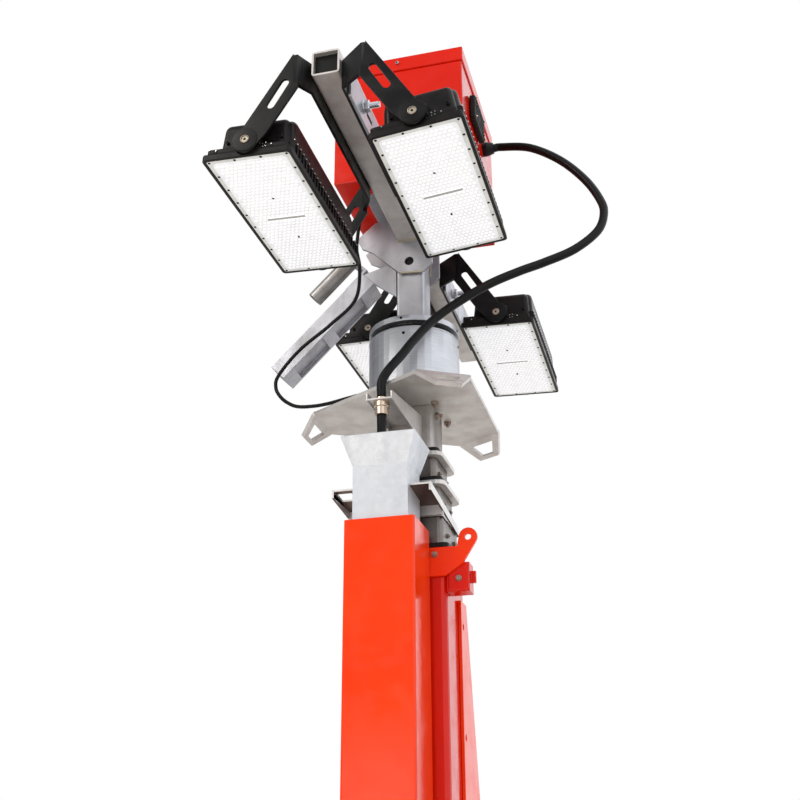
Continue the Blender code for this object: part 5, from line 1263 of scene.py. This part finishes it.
# %% Bolts of the first stage, under the guy plate
right, left, front, back, down = (1, 0, 0), (-1, 0, 0), (0, -1, 0), (0, 1, 0), (0, 0, -1)
TUBE_ONE_HALF = 0.0472
GUY_BOLT_R, GUY_PLATE_LOW = 0.078, 2.0099
rows = []
for side, way in ((1, right), (-1, left)):
    rows.append(((side * TUBE_ONE_HALF, -0.012, BAR_Z - 0.402), way, 0.008, 0.006))
for k in range(4):
    spot = spoke(45.0 + 90.0 * k) * GUY_BOLT_R + Vector((0.0, 0.0, GUY_PLATE_LOW))
    rows.append((spot, down, 0.008, 0.004))
bolt_piece("guy_plate_bolts", "stage_one", rows)

# %% Bolts of the sliding pads, on the sides of each stage below its top
for body in ("stage_three", "stage_two", "stage_four"):
    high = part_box(body + "_tube")[1]
    rows = []
    for side, way in ((1, right), (-1, left)):
        for y in (-0.028, 0.028):
            rows.append(((side * (high.x + 0.0002), y, high.z - 0.036), way, 0.005, 0.002))
    bolt_piece(body + "_pad_bolts", body, rows)

# %% Bolts of the lug, with the left one a guess from the right one
rows = [((x, -0.0833, BAR_Z - 0.7065), front, 0.006, 0.004) for x in (-0.0555, 0.0555)]
bolt_piece("lug_bolts", "outer_mast", rows)

# %% [markdown]
# The tray on the right of the mast's top is closed in front by a small
# painted cover with one bolt.  It is a folded sheet, so it starts as a
# block with rounded edges.

# %% Cover of the tray
bm = bmesh.new()
add_block(bm, (0.0800, -0.0765, 1.6255), (0.1170, -0.0735, 1.6765), Matrix.Identity(4), 0, 0.0012)
add_hex_bolt(bm, facing((0.0984, -0.0764, BAR_Z - 0.752), front), 0.006, 1, 0.0)
make_piece("tray_cover", bm, [ORANGE_PAINTED_SHADE, BOLT_DULL], "outer_mast")

# %% [markdown]
# The junction box's lid has a screw in the middle of its front rim, and one
# behind that is a guess.  The vent on its side has thin louvres, and a small
# screw in each corner.

# %% Screws and louvres of the junction box
LID_LOW, LID_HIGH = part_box("box_lid")
BOX_MID = middle_of("junction_box")
bm = bmesh.new()
for y, way in ((LID_LOW.y - 0.0002, front), (LID_HIGH.y + 0.0002, back)):
    add_cap_screw(bm, facing((BOX_MID.x, y, LID_LOW.z + 0.018), way), 0.005, 0, 1)
make_piece("lid_screws", bm, [BOLT_ZINC, DARK_SCREW_AND_PAINTED_SHADE], "head")

bm = bmesh.new()
VENT_LOW, VENT_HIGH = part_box("box_vent")
LOUVRES = 6
for k in range(LOUVRES):
    z = VENT_LOW.z + 0.008 + k * (VENT_HIGH.z - VENT_LOW.z - 0.016) / (LOUVRES - 1)
    add_block(bm, (VENT_HIGH.x - 0.001, VENT_LOW.y + 0.006, z - 0.0016),
              (VENT_HIGH.x + 0.0014, VENT_HIGH.y - 0.006, z + 0.0016), Matrix.Identity(4), 0, 0.0006)
for y in (VENT_LOW.y + 0.005, VENT_HIGH.y - 0.005):
    for z in (VENT_LOW.z + 0.005, VENT_HIGH.z - 0.005):
        add_cap_screw(bm, facing((VENT_HIGH.x, y, z), right), 0.003, 1, 2)
make_piece("vent_louvres", bm, [NYLON, STAINLESS_AND_PAINTED_GLINT, DARK_SCREW_AND_PAINTED_SHADE], "head")

# %% [markdown]
# The foot is below the photograph's edge.  Such a tube is welded to its base
# plate all round, so one bead runs along each of its sides.

# %% Welds at the mast's foot
PLATE_TOP, BEAD_HALF, BEAD_OUT = 0.016, 0.066, 0.0760
bm = bmesh.new()
for side in (-1, 1):
    out = side * BEAD_OUT
    add_weld(bm, (-BEAD_HALF, out, PLATE_TOP), (BEAD_HALF, out, PLATE_TOP), 0.0040)
    add_weld(bm, (out, -BEAD_HALF, PLATE_TOP), (out, BEAD_HALF, PLATE_TOP), 0.0040)
make_piece("foot_welds", bm, [ORANGE], "outer_mast")

# %% [markdown]
# ## Sizes at the end
#
# The boxes of the dressed mast and of the CAD model are printed side by side.
# The dressed mast has to stay inside the CAD model's box, give or take a few
# millimetres.

# %% Sizes, and the end
DRESSED_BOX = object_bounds()
for name, before, after in zip(("lowest", "highest"), CAD_BOX, DRESSED_BOX):
    print(name, [round(v * 1000, 1) for v in before], "->", [round(v * 1000, 1) for v in after], "mm")
